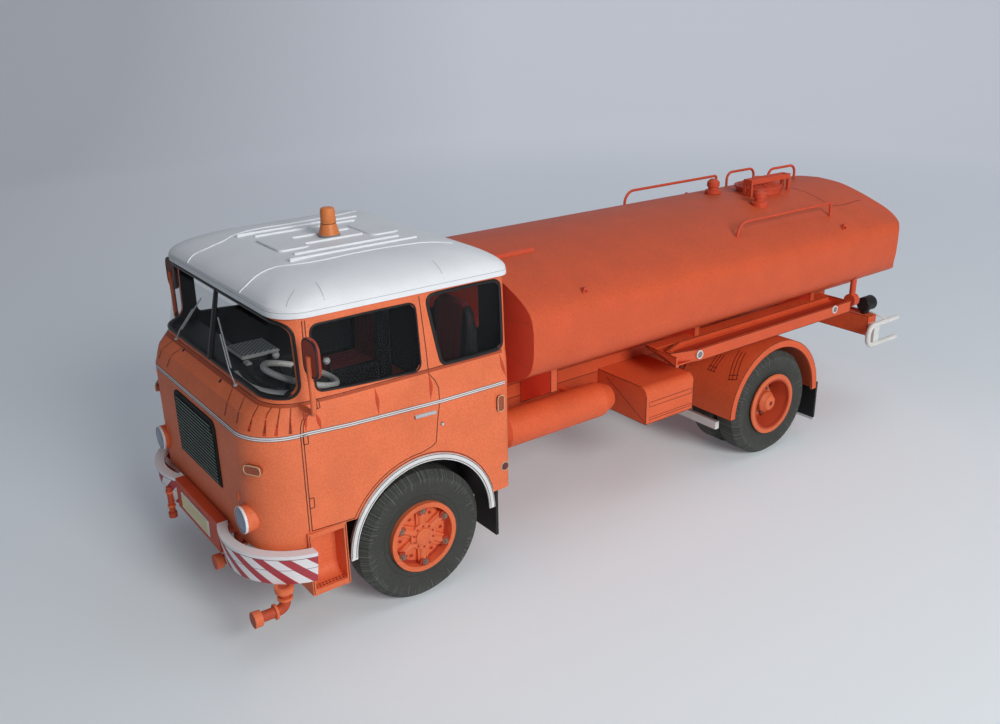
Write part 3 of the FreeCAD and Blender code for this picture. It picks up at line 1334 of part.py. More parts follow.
# Cab front: grille with its slats, headlamps, flashers and side lamps
def cab_front_nodes(cab):
    face = ahead(S.cab_front)
    half, corner = S.grille_half_width, S.grille_corner
    proud = S.grille_proud
    frame = [(-half, S.grille_bottom), (half, S.grille_bottom), (half, S.grille_top, corner),
             (-half, S.grille_top, corner)]
    keep("grille_frame", prism("grille_plate", "XZ", frame, (face - proud, face)))
    inside = half - S.grille_border
    slats = []
    for number in range(int(SIZES["slat_count"])):
        low = S.grille_bottom + S.grille_border + S.slat_pitch * number
        width = inside if number < SIZES["slat_count"] - 2 else inside - corner / 2
        span = (face - proud * 2, face - proud)
        slats.append(block(f"slat_{number}", (-width, width), span, (low, low + S.slat_height)))
    keep("grille_slats", group("slat_set", *slats))
    offset = S.cab_half_width - S.headlamp_inset
    spot = (offset, S.headlamp_height)
    lip = ahead(S.headlamp_face)
    bowl = rod("headlamp_bowl", "Y", spot, (lip, face + S.headlamp_radius), S.headlamp_radius)
    rim = rod("headlamp_rim", "Y", spot, (lip - S.headlamp_rim, lip), S.headlamp_radius)
    fin_foot = S.headlamp_height + S.headlamp_radius
    fin = [(face - S.headlamp_rim, fin_foot), (face, fin_foot), (face, fin_foot + S.fin_height)]
    across = (offset - S.fin_inset - S.card / 4, offset - S.fin_inset + S.card / 4)
    fin = prism("headlamp_fin", "YZ", fin, across)
    lamp = cut("headlamp_seated", fuse("headlamp_bowl_rim", bowl, rim), cab)
    keep("headlamps", pair("headlamp_set", group("headlamp_left", lamp, fin)))
    long, tall = S.indicator_length / 2, S.indicator_tall / 2
    oval = [(-long, -tall, tall * 0.9), (long, -tall, tall * 0.9), (long, tall, tall * 0.9),
            (-long, tall, tall * 0.9)]
    lamp = prism("flasher", "XZ", oval, (-S.indicator_thickness, S.indicator_thickness))
    offset = S.cab_half_width - S.cab_nose_inset - S.indicator_in
    place(lamp, offset, ahead(S.cab_front) + S.indicator_back, S.indicator_height,
          turn=FreeCAD.Rotation(FreeCAD.Vector(0, 0, 1), S.indicator_turn.value))
    long, tall = S.side_lamp_length / 2, S.side_lamp_tall / 2
    middle = behind(S.side_lamp_at)
    low, high = S.side_lamp_height - tall, S.side_lamp_height + tall
    oval = [(middle - long, low, long * 0.9), (middle + long, low, long * 0.9),
            (middle + long, high, long * 0.9), (middle - long, high, long * 0.9)]
    side = prism("side_lamp", "YZ", oval, (S.cab_half_width, S.cab_half_width + S.card))
    keep("corner_lamps", pair("corner_lamp_set", group("lamps_left", cut("flasher_seated", lamp, cab), side)))


# Bumper: a straight centre and two ends swept back round the cab's corners
def bumper_end_outline(tuck):
    front, depth = ahead(S.bumper_front) + tuck * 0.6, S.bumper_depth
    half = S.bumper_centre_half
    out, back = S.cab_half_width + S.bumper_end_reach - tuck, ahead(S.bumper_end_back)
    via_out = S.cab_half_width - S.bumper_via_inset - tuck * 0.7
    via_ahead = ahead(S.bumper_via_ahead) + tuck * 0.7
    outer = Via(via_out, via_ahead)
    inner = Via(via_out - depth * 0.5, via_ahead + depth * 0.8)
    return [(half, front), outer, (out, back), (out - depth, back), inner, (half, front + depth)]


def bumper_nodes():
    front = ahead(S.bumper_front)
    low, high = S.bumper_bottom, S.bumper_top
    half, depth = S.bumper_centre_half, S.bumper_depth
    end = lofted("bumper_end", [(low, bumper_end_outline(S.bumper_tuck)), (high, bumper_end_outline(ZERO))])
    centre = block("bumper_centre_box", (-half, half), (front, front + depth), (low, high))
    keep("bumper_ends", pair("bumper_end_set", end))
    inner = S.rail_offset - S.bracket_width
    arm_low, arm_high = S.skirt_front_height - S.bracket_width, S.skirt_front_height - S.seat_gap
    nose = ahead(S.rail_nose)
    across, along = (inner, S.rail_offset), (nose, nose + S.bracket_width)
    arm = block("bumper_arm", across, (front + depth, nose + S.bracket_width), (arm_low, arm_high))
    post = block("bumper_post", across, along, (arm_low, S.rail_bottom))
    bracket = fuse("bumper_bracket", arm, post)
    far = mirrored("bumper_bracket_right", bracket)
    keep("bumper_centre", fuse("bumper_centre_fused", centre, bracket, far))
    return end, arm_low


# Steps: a box under each door's front edge, open to the side above its tread
def step_nodes():
    front, back = ahead(S.skirt_step_front), ahead(S.step_back)
    outer = S.cab_half_width - S.step_inset
    body = block("step_box", (outer - S.step_width, outer), (front, back),
                 (S.step_bottom, S.skirt_step_height))
    inside, outside = outer - S.tread_depth, outer + S.overrun
    recess = [(inside, S.tread_height, S.recess_corner), (outside, S.tread_height), (outside, S.recess_top),
              (inside, S.recess_top)]
    room = prism("step_recess", "XZ", recess, (front + S.card, back - S.card))
    step = cut("step_left", body, room)
    keep("steps", pair("step_set", step))
    spot = (behind(S.arch_back), S.arch_height)
    side = S.cab_half_width
    outer = rod("trim_outer", "X", spot, (side, side + S.arch_trim_proud), S.arch_radius + S.arch_trim_width)
    inner = rod("trim_inner", "X", spot, (side - S.overrun, side + S.overrun), S.arch_radius)
    below = block("trim_below", (side - S.overrun, side + S.overrun),
                  (FRONT_AXLE - S.arch_radius * 2, FRONT_AXLE + S.arch_radius * 2),
                  (S.arch_height - S.arch_radius * 2, S.arch_height))
    keep("arch_trims", pair("arch_trim_set", cut("arch_trim_left", outer, inner, below)))


# Mirrors on bent stalks, wipers under the windscreen, and the front sprinkler nozzles
def front_fitting_nodes(cab, bumper_end, arm_low):
    half, thick = S.mirror_half_width, S.mirror_thickness
    middle = ahead(S.mirror_ahead)
    out = S.cab_half_width + S.mirror_reach
    plate = [(out - half, S.mirror_low, half * 0.8), (out + half, S.mirror_low, half * 0.8),
             (out + half, S.mirror_high, half * 0.8), (out - half, S.mirror_high, half * 0.8)]
    glass = prism("mirror_plate", "XZ", plate, (middle - thick / 2, middle + thick / 2))
    radius = S.mirror_stalk / 2
    root, height = S.cab_half_width - S.belt_inset - S.card, S.belt_height - S.card
    stalk = bent_bar("mirror_stalk_bar", "XZ", middle - thick / 2,
                     [(root, height), (out, height, S.mirror_stalk * 2), (out, (S.mirror_low + S.mirror_high) / 2)],
                     radius)
    keep("mirrors", pair("mirror_set", cut("mirror_seated", fuse("mirror_left", glass, stalk), cab)))
    bar = S.wiper_bar
    low = S.belt_height - S.card
    face = ahead(S.belt_front)
    arm = block("wiper_arm", (S.wiper_root - bar / 2, S.wiper_root + bar / 2), (face - bar * 2, face - bar),
                (low, low + S.wiper_reach * 0.2))
    keep("wipers", pair("wiper_set", cut("wiper_seated", arm, cab)))
    radius = S.nozzle_pipe_radius
    bend, lip = radius * 1.6, S.nozzle_collar_length
    start, height, tip = ahead(S.nozzle_pipe_ahead), S.nozzle_elbow_height, ahead(NOSE)
    offset = S.cab_half_width - S.nozzle_inset
    pipe = bent_bar("nozzle_pipe", "YZ", offset,
                    [(start, S.bumper_bottom), (start, height, bend), (tip, height)], radius)
    collar = rod("nozzle_collar", "Y", (offset, height), (tip, tip + lip), S.nozzle_collar_radius)
    left = fuse("nozzle_left", pipe, collar)
    start, height, out = ahead(S.centre_nozzle_root), S.centre_nozzle_height, S.centre_nozzle_out
    tip = ahead(S.bumper_front + S.centre_nozzle_throw)
    pipe = bent_bar("centre_pipe", "YZ", out, [(start, arm_low), (start, height, bend), (tip, height)], radius)
    collar = rod("centre_collar", "Y", (out, height), (tip, tip + lip), S.nozzle_collar_radius)
    centre = fuse("nozzle_centre", pipe, collar)
    radius = S.right_nozzle_pipe_radius
    spot = (-S.right_nozzle_out, ahead(NOSE) + radius + S.right_nozzle_lip)
    pipe = rod("right_pipe", "Z", spot, (S.right_nozzle_bottom, S.right_nozzle_top), radius)
    collar = rod("right_collar", "Z", spot, (S.right_nozzle_bottom, S.right_nozzle_bottom + lip),
                 radius + S.right_nozzle_lip)
    far = mirrored("bumper_end_far", bumper_end)
    right = cut("nozzle_right", fuse("nozzle_right_fused", pipe, collar), far)
    keep("front_nozzles", group("nozzle_set", left, centre, right))


wheel_nodes()
frame_nodes()
front_axle_node()
rear_axle_node()
driveline_nodes()
tank = tank_nodes()
hatch_nodes(tank)
fitting_nodes(tank)
trough_nodes()
mudguard_nodes()
side_box_nodes()
rear_nodes()
cab, panes = cab_nodes()
glass_nodes(panes)
roof_nodes()
cab_inside_nodes()
cab_front_nodes(cab)
bumper_end, bumper_arm_low = bumper_nodes()
step_nodes()
front_fitting_nodes(cab, bumper_end, bumper_arm_low)

doc.recompute()
faults = [item.Name for item in doc.Objects if {"Invalid", "Error"} & set(item.State)]
faults += [piece.Label for piece in NODES if piece.Shape.isNull() or not piece.Shape.isValid()]
if faults:
    raise SystemExit("These objects failed: " + ", ".join(faults))
for piece in NODES:
    piece.Shape.exportStep("parts/" + piece.Label + ".step")
print(len(NODES), "nodes written")
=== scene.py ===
import bpy
import bmesh
import json
import math
from mathutils import Matrix, Vector
from mathutils.bvhtree import BVHTree


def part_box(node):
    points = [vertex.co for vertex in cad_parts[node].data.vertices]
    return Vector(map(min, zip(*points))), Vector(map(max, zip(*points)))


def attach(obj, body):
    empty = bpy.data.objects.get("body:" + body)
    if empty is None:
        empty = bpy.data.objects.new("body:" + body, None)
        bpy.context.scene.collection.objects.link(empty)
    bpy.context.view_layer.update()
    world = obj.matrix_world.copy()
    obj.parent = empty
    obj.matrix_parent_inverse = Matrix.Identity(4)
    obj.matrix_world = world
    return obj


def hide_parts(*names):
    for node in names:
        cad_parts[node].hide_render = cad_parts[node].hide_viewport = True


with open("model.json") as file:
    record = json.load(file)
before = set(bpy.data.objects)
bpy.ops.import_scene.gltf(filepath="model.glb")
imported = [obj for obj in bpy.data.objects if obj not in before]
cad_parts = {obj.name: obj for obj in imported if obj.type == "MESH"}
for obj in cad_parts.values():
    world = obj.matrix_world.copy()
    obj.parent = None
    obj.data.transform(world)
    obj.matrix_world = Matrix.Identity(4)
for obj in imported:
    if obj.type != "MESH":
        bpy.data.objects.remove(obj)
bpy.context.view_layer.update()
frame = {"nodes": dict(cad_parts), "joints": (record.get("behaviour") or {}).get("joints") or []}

# Camera: held a little above the cab roof, ahead of the lorry and on its left side.
# The lens and the place come from the wheels, the cab and the tank in the photograph.
scene = bpy.context.scene
scene.view_settings.view_transform = "Standard"
camera_lens = bpy.data.cameras.new("camera")
camera_lens.sensor_width = 36.0
camera_lens.lens = 34.678
camera_lens.clip_start = 0.01
camera = bpy.data.objects.new("camera", camera_lens)
scene.collection.objects.link(camera)
turn, tilt, roll = 2.509736, -0.366830, -0.018640
sight = Vector((math.cos(tilt) * math.cos(turn), math.cos(tilt) * math.sin(turn), math.sin(tilt)))
level = sight.cross(Vector((0, 0, 1))).normalized()
upright = level.cross(sight)
picture_right = math.cos(roll) * level + math.sin(roll) * upright
picture_up = math.cos(roll) * upright - math.sin(roll) * level
camera.matrix_world = Matrix((picture_right, picture_up, -sight)).transposed().to_4x4()
camera.location = (0.21244, -0.18113, 0.14059)
scene.camera = camera


# Paper sweep: one large sheet of pale card, flat under the lorry and curved up far behind it.
# It is matt, coloured bluish white in a painted pool of light round the lorry, with painted shade greyer
# towards its edges and darker towards the camera's left, and a painted glow that only camera, glossy and
# transmission rays see.
def linear(hex_colour):
    """An sRGB hex colour as the linear values that Blender's sockets take."""
    values = [int(hex_colour[i:i + 2], 16) / 255 for i in (0, 2, 4)]
    return tuple(v / 12.92 if v <= 0.04045 else ((v + 0.055) / 1.055) ** 2.4 for v in values) + (1.0,)


def put(tree, kind, sockets=None, **settings):
    """Adds one shader node with its settings, and fills or links its sockets."""
    made = tree.nodes.new("ShaderNode" + kind)
    for setting, value in settings.items():
        setattr(made, setting, value)
    for socket, value in (sockets or {}).items():
        if isinstance(value, bpy.types.NodeSocket):
            tree.links.new(value, made.inputs[socket])
        else:
            made.inputs[socket].default_value = value
    return made


def shape(name, points, faces, material, smooth=True):
    """A mesh object from points in metres and faces."""
    mesh = bpy.data.meshes.new(name)
    mesh.from_pydata(points, [], faces)
    mesh.materials.append(material)
    mesh.polygons.foreach_set("use_smooth", [smooth] * len(mesh.polygons))
    mesh.update()
    made = bpy.data.objects.new(name, mesh)
    scene.collection.objects.link(made)
    return made


sweep_paper = bpy.data.materials.new("sweep_paper")
sweep_paper.use_nodes = True
tree = sweep_paper.node_tree
where = put(tree, "TexCoord").outputs["Object"]
middle = put(tree, "VectorMath", {0: where, 1: (0.07, 0.02, 0.0)}, operation="SUBTRACT").outputs[0]
spread = put(tree, "VectorMath", {0: middle}, operation="LENGTH").outputs["Value"]
# Painted light and shade: bluish white near the lorry, greyer further out.
edge = put(tree, "MapRange", {"Value": spread, "From Min": 0.10, "From Max": 0.75}).outputs[0]
tone = put(tree, "Mix", {0: edge, 6: linear("F2FAFF"), 7: linear("C5C9D2")}, data_type="RGBA").outputs[2]
leftward = put(tree, "VectorMath", {0: where, 1: tuple(picture_right)},
               operation="DOT_PRODUCT").outputs["Value"]
# Painted shade: darker towards the camera's left.
painted_shade_left = put(tree, "MapRange", {"Value": leftward, "From Min": -0.42, "From Max": -0.04,
                              "To Min": 0.68}).outputs[0]
tone = put(tree, "Mix", {0: painted_shade_left, 6: linear("000000"), 7: tone}, data_type="RGBA").outputs[2]
paper = tree.nodes["Principled BSDF"]
tree.links.new(tone, paper.inputs["Base Color"])
paper.inputs["Roughness"].default_value = 0.85
paper.inputs["Specular IOR Level"].default_value = 0.15
seen_by = put(tree, "LightPath").outputs
seen = put(tree, "Math", {0: seen_by["Is Camera Ray"], 1: seen_by["Is Glossy Ray"]},
           operation="MAXIMUM").outputs[0]
seen = put(tree, "Math", {0: seen, 1: seen_by["Is Transmission Ray"]}, operation="MAXIMUM").outputs[0]
# Painted glow, stronger further out, seen only by camera, glossy and transmission rays.
painted_glow = put(tree, "MapRange", {"Value": spread, "From Min": 0.15, "From Max": 0.70, "To Min": 0.10,
                              "To Max": 0.47}).outputs[0]
painted_glow = put(tree, "Math", {0: painted_glow, 1: painted_shade_left}, operation="MULTIPLY").outputs[0]
tree.links.new(put(tree, "Math", {0: painted_glow, 1: seen}, operation="MULTIPLY").outputs[0],
               paper.inputs["Emission Strength"])
paper.inputs["Emission Color"].default_value = linear("D2D6E0")
away = Vector((sight.x, sight.y, 0)).normalized()
across = Vector((-away.y, away.x, 0))
floor_end, bend, paper_half, paper_top = 0.55, 0.4, 2.5, 2.5
profile = [(-2.0, 0.0), (floor_end, 0.0)]
for step in range(1, 17):
    angle = step * math.pi / 32
    profile.append((floor_end + bend * math.sin(angle), bend - bend * math.cos(angle)))
profile.append((floor_end + bend, paper_top))
sweep_points = [away * s + across * side + Vector((0, 0, z)) for s, z in profile
                for side in (-paper_half, paper_half)]
sweep_faces = [(i, i + 1, i + 3, i + 2) for i in range(0, len(sweep_points) - 2, 2)]
shape("sweep", sweep_points, sweep_faces, sweep_paper)


# Studio light: one soft lamp on the lorry's left, a larger and weaker one over it, and a pale room.
# The lorry's left side is lit most, and its front less.
def soft_lamp(name, way, distance, size, power, hex_colour):
    """A round lamp that looks at the lorry, from a distance in metres along a way."""
    data = bpy.data.lights.new(name, "AREA")
    data.shape = "DISK"
    data.size = size
    data.energy = power
    data.color = linear(hex_colour)[:3]
    lamp = bpy.data.objects.new(name, data)
    scene.collection.objects.link(lamp)
    way = Vector(way).normalized()
    lamp.matrix_world = way.to_track_quat("Z", "Y").to_matrix().to_4x4()
    lamp.location = way * distance + Vector((0, 0, 0.04))


soft_lamp("side_lamp", (0.95, -0.09, 0.45), 0.75, 0.32, 3.35, "FFFDF8")
soft_lamp("top_lamp", (0.15, 0.25, 1.0), 1.1, 0.9, 2.0, "F0F6FF")
room = bpy.data.worlds.new("room")
scene.world = room
room.use_nodes = True
room.node_tree.nodes["Background"].inputs["Color"].default_value = linear("DDE2EA")
room.node_tree.nodes["Background"].inputs["Strength"].default_value = 0.21


# Chassis: rails, crossmembers, axles, springs, engine and propshaft, cut from a darker copy of the printed
# orange card, which is painted shade under the lorry. It is matt and faintly cloudy, with the fleck of laser
# print. Real flecks
# are finer, and are drawn 0.3 mm wide so that they show.
def printed_card(name, ink, fleck_ink, roughness=0.55, fleck=1.0, cloud=0.12):
    """Printed card: two tones of ink in 0.3 mm flecks, soft 9 mm clouds and a paper tooth."""
    material = bpy.data.materials.new(name)
    material.use_nodes = True
    tree = material.node_tree
    shader = tree.nodes["Principled BSDF"]
    where = put(tree, "TexCoord").outputs["Object"]
    flecks = put(tree, "TexNoise", {"Vector": where, "Scale": 3300.0, "Detail": 1.0, "Roughness": 0.5})
    share = put(tree, "MapRange", {"Value": flecks.outputs[0], "From Min": 0.35, "From Max": 0.65,
                                   "To Max": fleck}).outputs[0]
    inked = put(tree, "Mix", {0: share, 6: linear(ink), 7: linear(fleck_ink)}, data_type="RGBA").outputs[2]
    clouds = put(tree, "TexNoise", {"Vector": where, "Scale": 110.0, "Detail": 3.0, "Roughness": 0.55})
    light = put(tree, "MapRange", {"Value": clouds.outputs[0], "From Min": 0.3, "From Max": 0.7,
                                   "To Min": 1.0 - cloud / 2, "To Max": 1.0 + cloud / 2}).outputs[0]
    toned = put(tree, "VectorMath", {0: inked, "Scale": light}, operation="SCALE").outputs[0]
    tree.links.new(toned, shader.inputs["Base Color"])
    tooth = put(tree, "TexNoise", {"Vector": where, "Scale": 2200.0, "Detail": 2.0})
    bump = put(tree, "Bump", {"Height": tooth.outputs[0], "Strength": 0.10, "Distance": 0.00004})
    tree.links.new(bump.outputs[0], shader.inputs["Normal"])
    shader.inputs["Roughness"].default_value = roughness
    shader.inputs["Specular IOR Level"].default_value = 0.35
    return material


def print_over(material, mask, ink):
    """Prints another colour over a material where a mask is 1."""
    tree = material.node_tree
    socket = tree.nodes["Principled BSDF"].inputs["Base Color"]
    below = socket.links[0].from_socket
    top = put(tree, "Mix", {0: mask, 6: below, 7: linear(ink)}, data_type="RGBA").outputs[2]
    tree.links.new(top, socket)


def between(tree, value, low, high):
    """1 where a value lies between two limits."""
    over = put(tree, "Math", {0: value, 1: low}, operation="GREATER_THAN").outputs[0]
    under = put(tree, "Math", {0: value, 1: high}, operation="LESS_THAN").outputs[0]
    return put(tree, "Math", {0: over, 1: under}, operation="MULTIPLY").outputs[0]


def dress(material, *nodes):
    """Gives CAD nodes a material."""
    for node in nodes:
        for slot in frame["nodes"][node].material_slots:
            slot.material = material


orange_card = printed_card("printed_orange_card", "EA7A50", "E26C42")
# Painted shade: a darker copy of the orange card for the chassis under the lorry.
shaded_card = printed_card("shaded_orange_card", "C4512F", "B84827")
dress(shaded_card, "frame_rail_left", "frame_rail_right", "crossmembers", "front_axle", "rear_axle",
      "propshaft", "engine", "cab_floor")


# Tyres: rolled dark grey card with a printed shoulder of fine pale and dark radial strokes.
# The wall is flat dark grey, with a thin darker ring round the rim.
def tyre_card(name, axle):
    """Grey tyre card, with strokes drawn round the axle in 1.3 degree steps."""
    material = printed_card(name, "393B38", "444643", roughness=0.75, cloud=0.2)
    tree = material.node_tree
    where = put(tree, "TexCoord").outputs["Object"]
    centred = put(tree, "VectorMath", {0: where, 1: axle}, operation="SUBTRACT").outputs[0]
    flat = put(tree, "SeparateXYZ", {0: centred}).outputs
    bearing = put(tree, "Math", {0: flat[2], 1: flat[1]}, operation="ARCTAN2").outputs[0]
    disc = put(tree, "VectorMath", {0: centred, 1: (0, 1, 1)}, operation="MULTIPLY").outputs[0]
    reach = put(tree, "VectorMath", {0: disc}, operation="LENGTH").outputs["Value"]
    strokes = put(tree, "TexNoise", {"W": bearing, "Scale": 46.0, "Detail": 2.0, "Roughness": 0.75},
                  noise_dimensions="1D").outputs[0]
    lengths = put(tree, "TexNoise", {"W": bearing, "Scale": 19.0, "Detail": 1.0},
                  noise_dimensions="1D").outputs[0]
    start = put(tree, "MapRange", {"Value": lengths, "From Min": 0.3, "From Max": 0.7, "To Min": 0.0132,
                                   "To Max": 0.0156}).outputs[0]
    line = put(tree, "MapRange", {"Value": strokes, "From Min": 0.54, "From Max": 0.66,
                                  "To Max": 0.42}).outputs[0]
    outside = put(tree, "Math", {0: reach, 1: start}, operation="GREATER_THAN").outputs[0]
    mask = put(tree, "Math", {0: line, 1: outside}, operation="MULTIPLY").outputs[0]
    print_over(material, mask, "8E918C")
    gap = put(tree, "MapRange", {"Value": strokes, "From Min": 0.40, "From Max": 0.30,
                                 "To Max": 0.7}).outputs[0]
    print_over(material, put(tree, "Math", {0: gap, 1: outside}, operation="MULTIPLY").outputs[0], "262725")
    print_over(material, between(tree, reach, 0.0107, 0.0109), "333532")
    return material


wheel_places = {joint["child"]: Vector(joint["pos_m"]) for joint in frame["joints"]}
front_axle_y = wheel_places["front_wheel_left"].y
front_tyre = tyre_card("front_tyre_card", (0, front_axle_y, 0.017))
rear_tyre = tyre_card("rear_tyre_card", (0, wheel_places["rear_wheels_left"].y, 0.017))
dress(front_tyre, "tyre_front_left", "tyre_front_right")
dress(rear_tyre, "tyres_rear_left", "tyres_rear_right")


# Front rims: a printed orange dish behind six rolled spokes, each clamped to the rim by a
# grey-brown bolt, round a flange with small bolts and a raised cap.
def lathe(name, profile, material, rounds=48, smooth=True):
    """Turns (radius, height) points about local +X; the first and last may lie on the axis."""
    points, faces, rows = [], [], []
    for radius, height in profile:
        row = []
        for step in range(1 if radius < 1e-7 else rounds):
            angle = 2 * math.pi * step / rounds
            points.append(Vector((height, radius * math.cos(angle), radius * math.sin(angle))) / 1000)
            row.append(len(points) - 1)
        rows.append(row)
    for low, high in zip(rows, rows[1:]):
        for step in range(rounds):
            ring = [low[step % len(low)], low[(step + 1) % len(low)], high[(step + 1) % len(high)],
                    high[step % len(high)]]
            faces.append([p for i, p in enumerate(ring) if p not in ring[:i]])
    made = shape(name, points, faces, material, smooth)
    made.data.validate()
    return made


def sharpen(piece, degrees=35):
    """Smooth faces with crisp edges where card is folded."""
    mesh = piece.data
    mesh.polygons.foreach_set("use_smooth", [True] * len(mesh.polygons))
    mesh.set_sharp_from_angle(angle=math.radians(degrees))
    return piece


def joined(name, pieces):
    """One object from several, with their places worked into the mesh."""
    bpy.context.view_layer.update()
    whole = bmesh.new()
    materials = []
    for piece in pieces:
        piece.data.transform(piece.matrix_world)
        if piece.data.materials[0] not in materials:
            materials.append(piece.data.materials[0])
        start = len(whole.faces)
        whole.from_mesh(piece.data)
        whole.faces.ensure_lookup_table()
        for face in whole.faces[start:]:
            face.material_index = materials.index(piece.data.materials[0])
        bpy.data.objects.remove(piece)
    mesh = bpy.data.meshes.new(name)
    whole.to_mesh(mesh)
    whole.free()
    for material in materials:
        mesh.materials.append(material)
    made = bpy.data.objects.new(name, mesh)
    scene.collection.objects.link(made)
    return sharpen(made)


rim_card = printed_card("rim_card", "E8754B", "DC683F")
# Painted shade: dark red for the crescent inside the lip, the bolt seats and the holes between the spokes; the
# small bolts are the same dark red card.
rim_shade_card = printed_card("rim_shadow_card", "B23A22", "A4331C")
bolt_card = printed_card("bolt_card", "7A5A4C", "8E7466", roughness=0.4)
dress(rim_card, "rim_front_left", "rim_front_right")
rim_face = 4.95
for body, way in (("front_wheel_left", 1), ("front_wheel_right", -1)):
    dish = lathe("dish", [(8.0, rim_face - 2.3), (7.2, rim_face - 2.5), (2.4, rim_face - 1.7)], rim_card)
    crescent = lathe("crescent", [(8.02, rim_face - 1.2), (8.0, rim_face - 2.25), (7.1, rim_face - 2.42)],
                     rim_shade_card)
    flange = lathe("flange", [(3.5, rim_face - 2.0), (3.5, rim_face - 0.75), (3.3, rim_face - 0.6),
                              (2.3, rim_face - 0.6), (2.25, rim_face - 0.2), (1.9, rim_face),
                              (0, rim_face + 0.05)], rim_card)
    parts = [dish, crescent, flange]
    for number in range(6):
        angle = number * math.pi / 3
        spin = Matrix.Rotation(angle, 4, "X")
        spoke = lathe("spoke", [(0, 3.1), (1.15, 3.15), (1.02, 4.6), (1.2, 6.4), (1.35, 7.3), (0, 7.35)],
                      rim_card, 20)
        upright_turn = Matrix.Rotation(math.radians(-90), 4, "Y")
        spoke.matrix_world = spin @ Matrix.Translation((0.001 * (rim_face - 1.7), 0, 0)) @ upright_turn
        seat = lathe("seat", [(1.5, rim_face - 2.2), (1.45, rim_face - 0.65), (0.9, rim_face - 0.5)],
                     rim_shade_card, 6)
        bolt = lathe("bolt", [(0.85, rim_face - 0.9), (0.8, rim_face - 0.25), (0.45, rim_face - 0.2),
                              (0.42, rim_face + 0.1), (0, rim_face + 0.12)], bolt_card, 12)
        hole = lathe("hole", [(0.42, rim_face - 1.9), (0.3, rim_face - 1.95), (0, rim_face - 1.95)],
                     rim_shade_card, 12)
        for piece in (seat, bolt):
            piece.matrix_world = spin @ Matrix.Translation((0, 0, 0.0071))
        hole.matrix_world = Matrix.Rotation(angle + math.pi / 6, 4, "X") @ Matrix.Translation((0, 0, 0.0058))
        parts += [spoke, seat, bolt, hole]
    for number in range(10):
        stud = lathe("stud", [(0.3, rim_face - 0.7), (0.27, rim_face - 0.42), (0, rim_face - 0.38)],
                     rim_shade_card, 10)
        stud.matrix_world = Matrix.Rotation(number * math.pi / 5, 4, "X") @ Matrix.Translation((0, 0, 0.0028))
        parts.append(stud)
    wheel_face = joined("wheel_face_" + body[12:], parts)
    wheel_face.matrix_world = Matrix.Translation(wheel_places[body]) @ Matrix.Scale(way, 4, (1, 0, 0))
    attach(wheel_face, body)


# Tank: a closed drum of orange card with a domed top, flat sloped sides and rounded rear corners.
# Its seams are glued edge to edge, and show as thin ink lines over the back and round the front.
def spot(x, y, z):
    """A place in millimetres: x to the lorry's left, y behind the front axle, z above the ground."""
    return Vector((x / 1000, y / 1000 + front_axle_y, z / 1000))


def cast(node, start, way, shells={}):
    """Where a straight look at a CAD node meets it, and which way its surface faces there."""
    if node not in shells:
        shell = bmesh.new()
        shell.from_mesh((frame["nodes"].get(node) or bpy.data.objects[node]).data)
        shells[node] = BVHTree.FromBMesh(shell)
        shell.free()
    return shells[node].ray_cast(start, Vector(way).normalized())[:2]


def trace(node, way, points, step=0.6):
    """Follows a line of places, pressed onto a CAD node from one side."""
    way = Vector(way).normalized()
    places = [spot(*point) for point in points]
    found = []
    for start, end in zip(places, places[1:]):
        parts = max(1, round((end - start).length * 1000 / step))
        for part in range(parts + (end is places[-1])):
            hit, facing = cast(node, start.lerp(end, part / parts) - way * 0.03, way)
            if hit:
                found.append((hit, facing if facing.dot(way) < 0 else -facing))
    return found


def strips(name, runs, width, height, material, closed=False):
    """Ink lines, or low raised beads, laid along traced places."""
    points, faces = [], []
    section = [(-0.5, 0.03), (0.5, 0.03)]
    if height > 0.05:
        section = [(-0.5, -0.1), (-0.45, height * 0.7), (-0.2, height), (0.2, height), (0.45, height * 0.7),
                   (0.5, -0.1)]
    for run in runs:
        count, start = len(run), len(points)
        for i, (place, facing) in enumerate(run):
            if closed:
                before, after = run[i - 1], run[(i + 1) % count]
            else:
                before, after = run[max(i - 1, 0)], run[min(i + 1, count - 1)]
            facing = (before[1] + facing + after[1]).normalized()
            side = facing.cross(after[0] - before[0]).normalized()
            wide = width(i / (count - 1)) if callable(width) else width
            points += [place + side * (share * wide / 1000) + facing * (rise / 1000)
                       for share, rise in section]
        rows = count if closed else count - 1
        many = len(section)
        for i in range(rows):
            for j in range(many - 1):
                a, b = start + i * many + j, start + (i + 1) % count * many + j
                faces.append((a, b, b + 1, a + 1))
    made = shape(name, points, faces, material)
    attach(made, "chassis")


ink_line = printed_card("dark_ink_line", "5A2A1E", "46221A", fleck=0.6)
black_card = printed_card("black_card", "1B1A1B", "262526", roughness=0.5, cloud=0.2)
tank_card = printed_card("tank_orange_card", "DC6039", "D05430", cloud=0.10)
tree = tank_card.node_tree
facing = put(tree, "SeparateXYZ", {0: put(tree, "NewGeometry").outputs["Normal"]}).outputs[1]
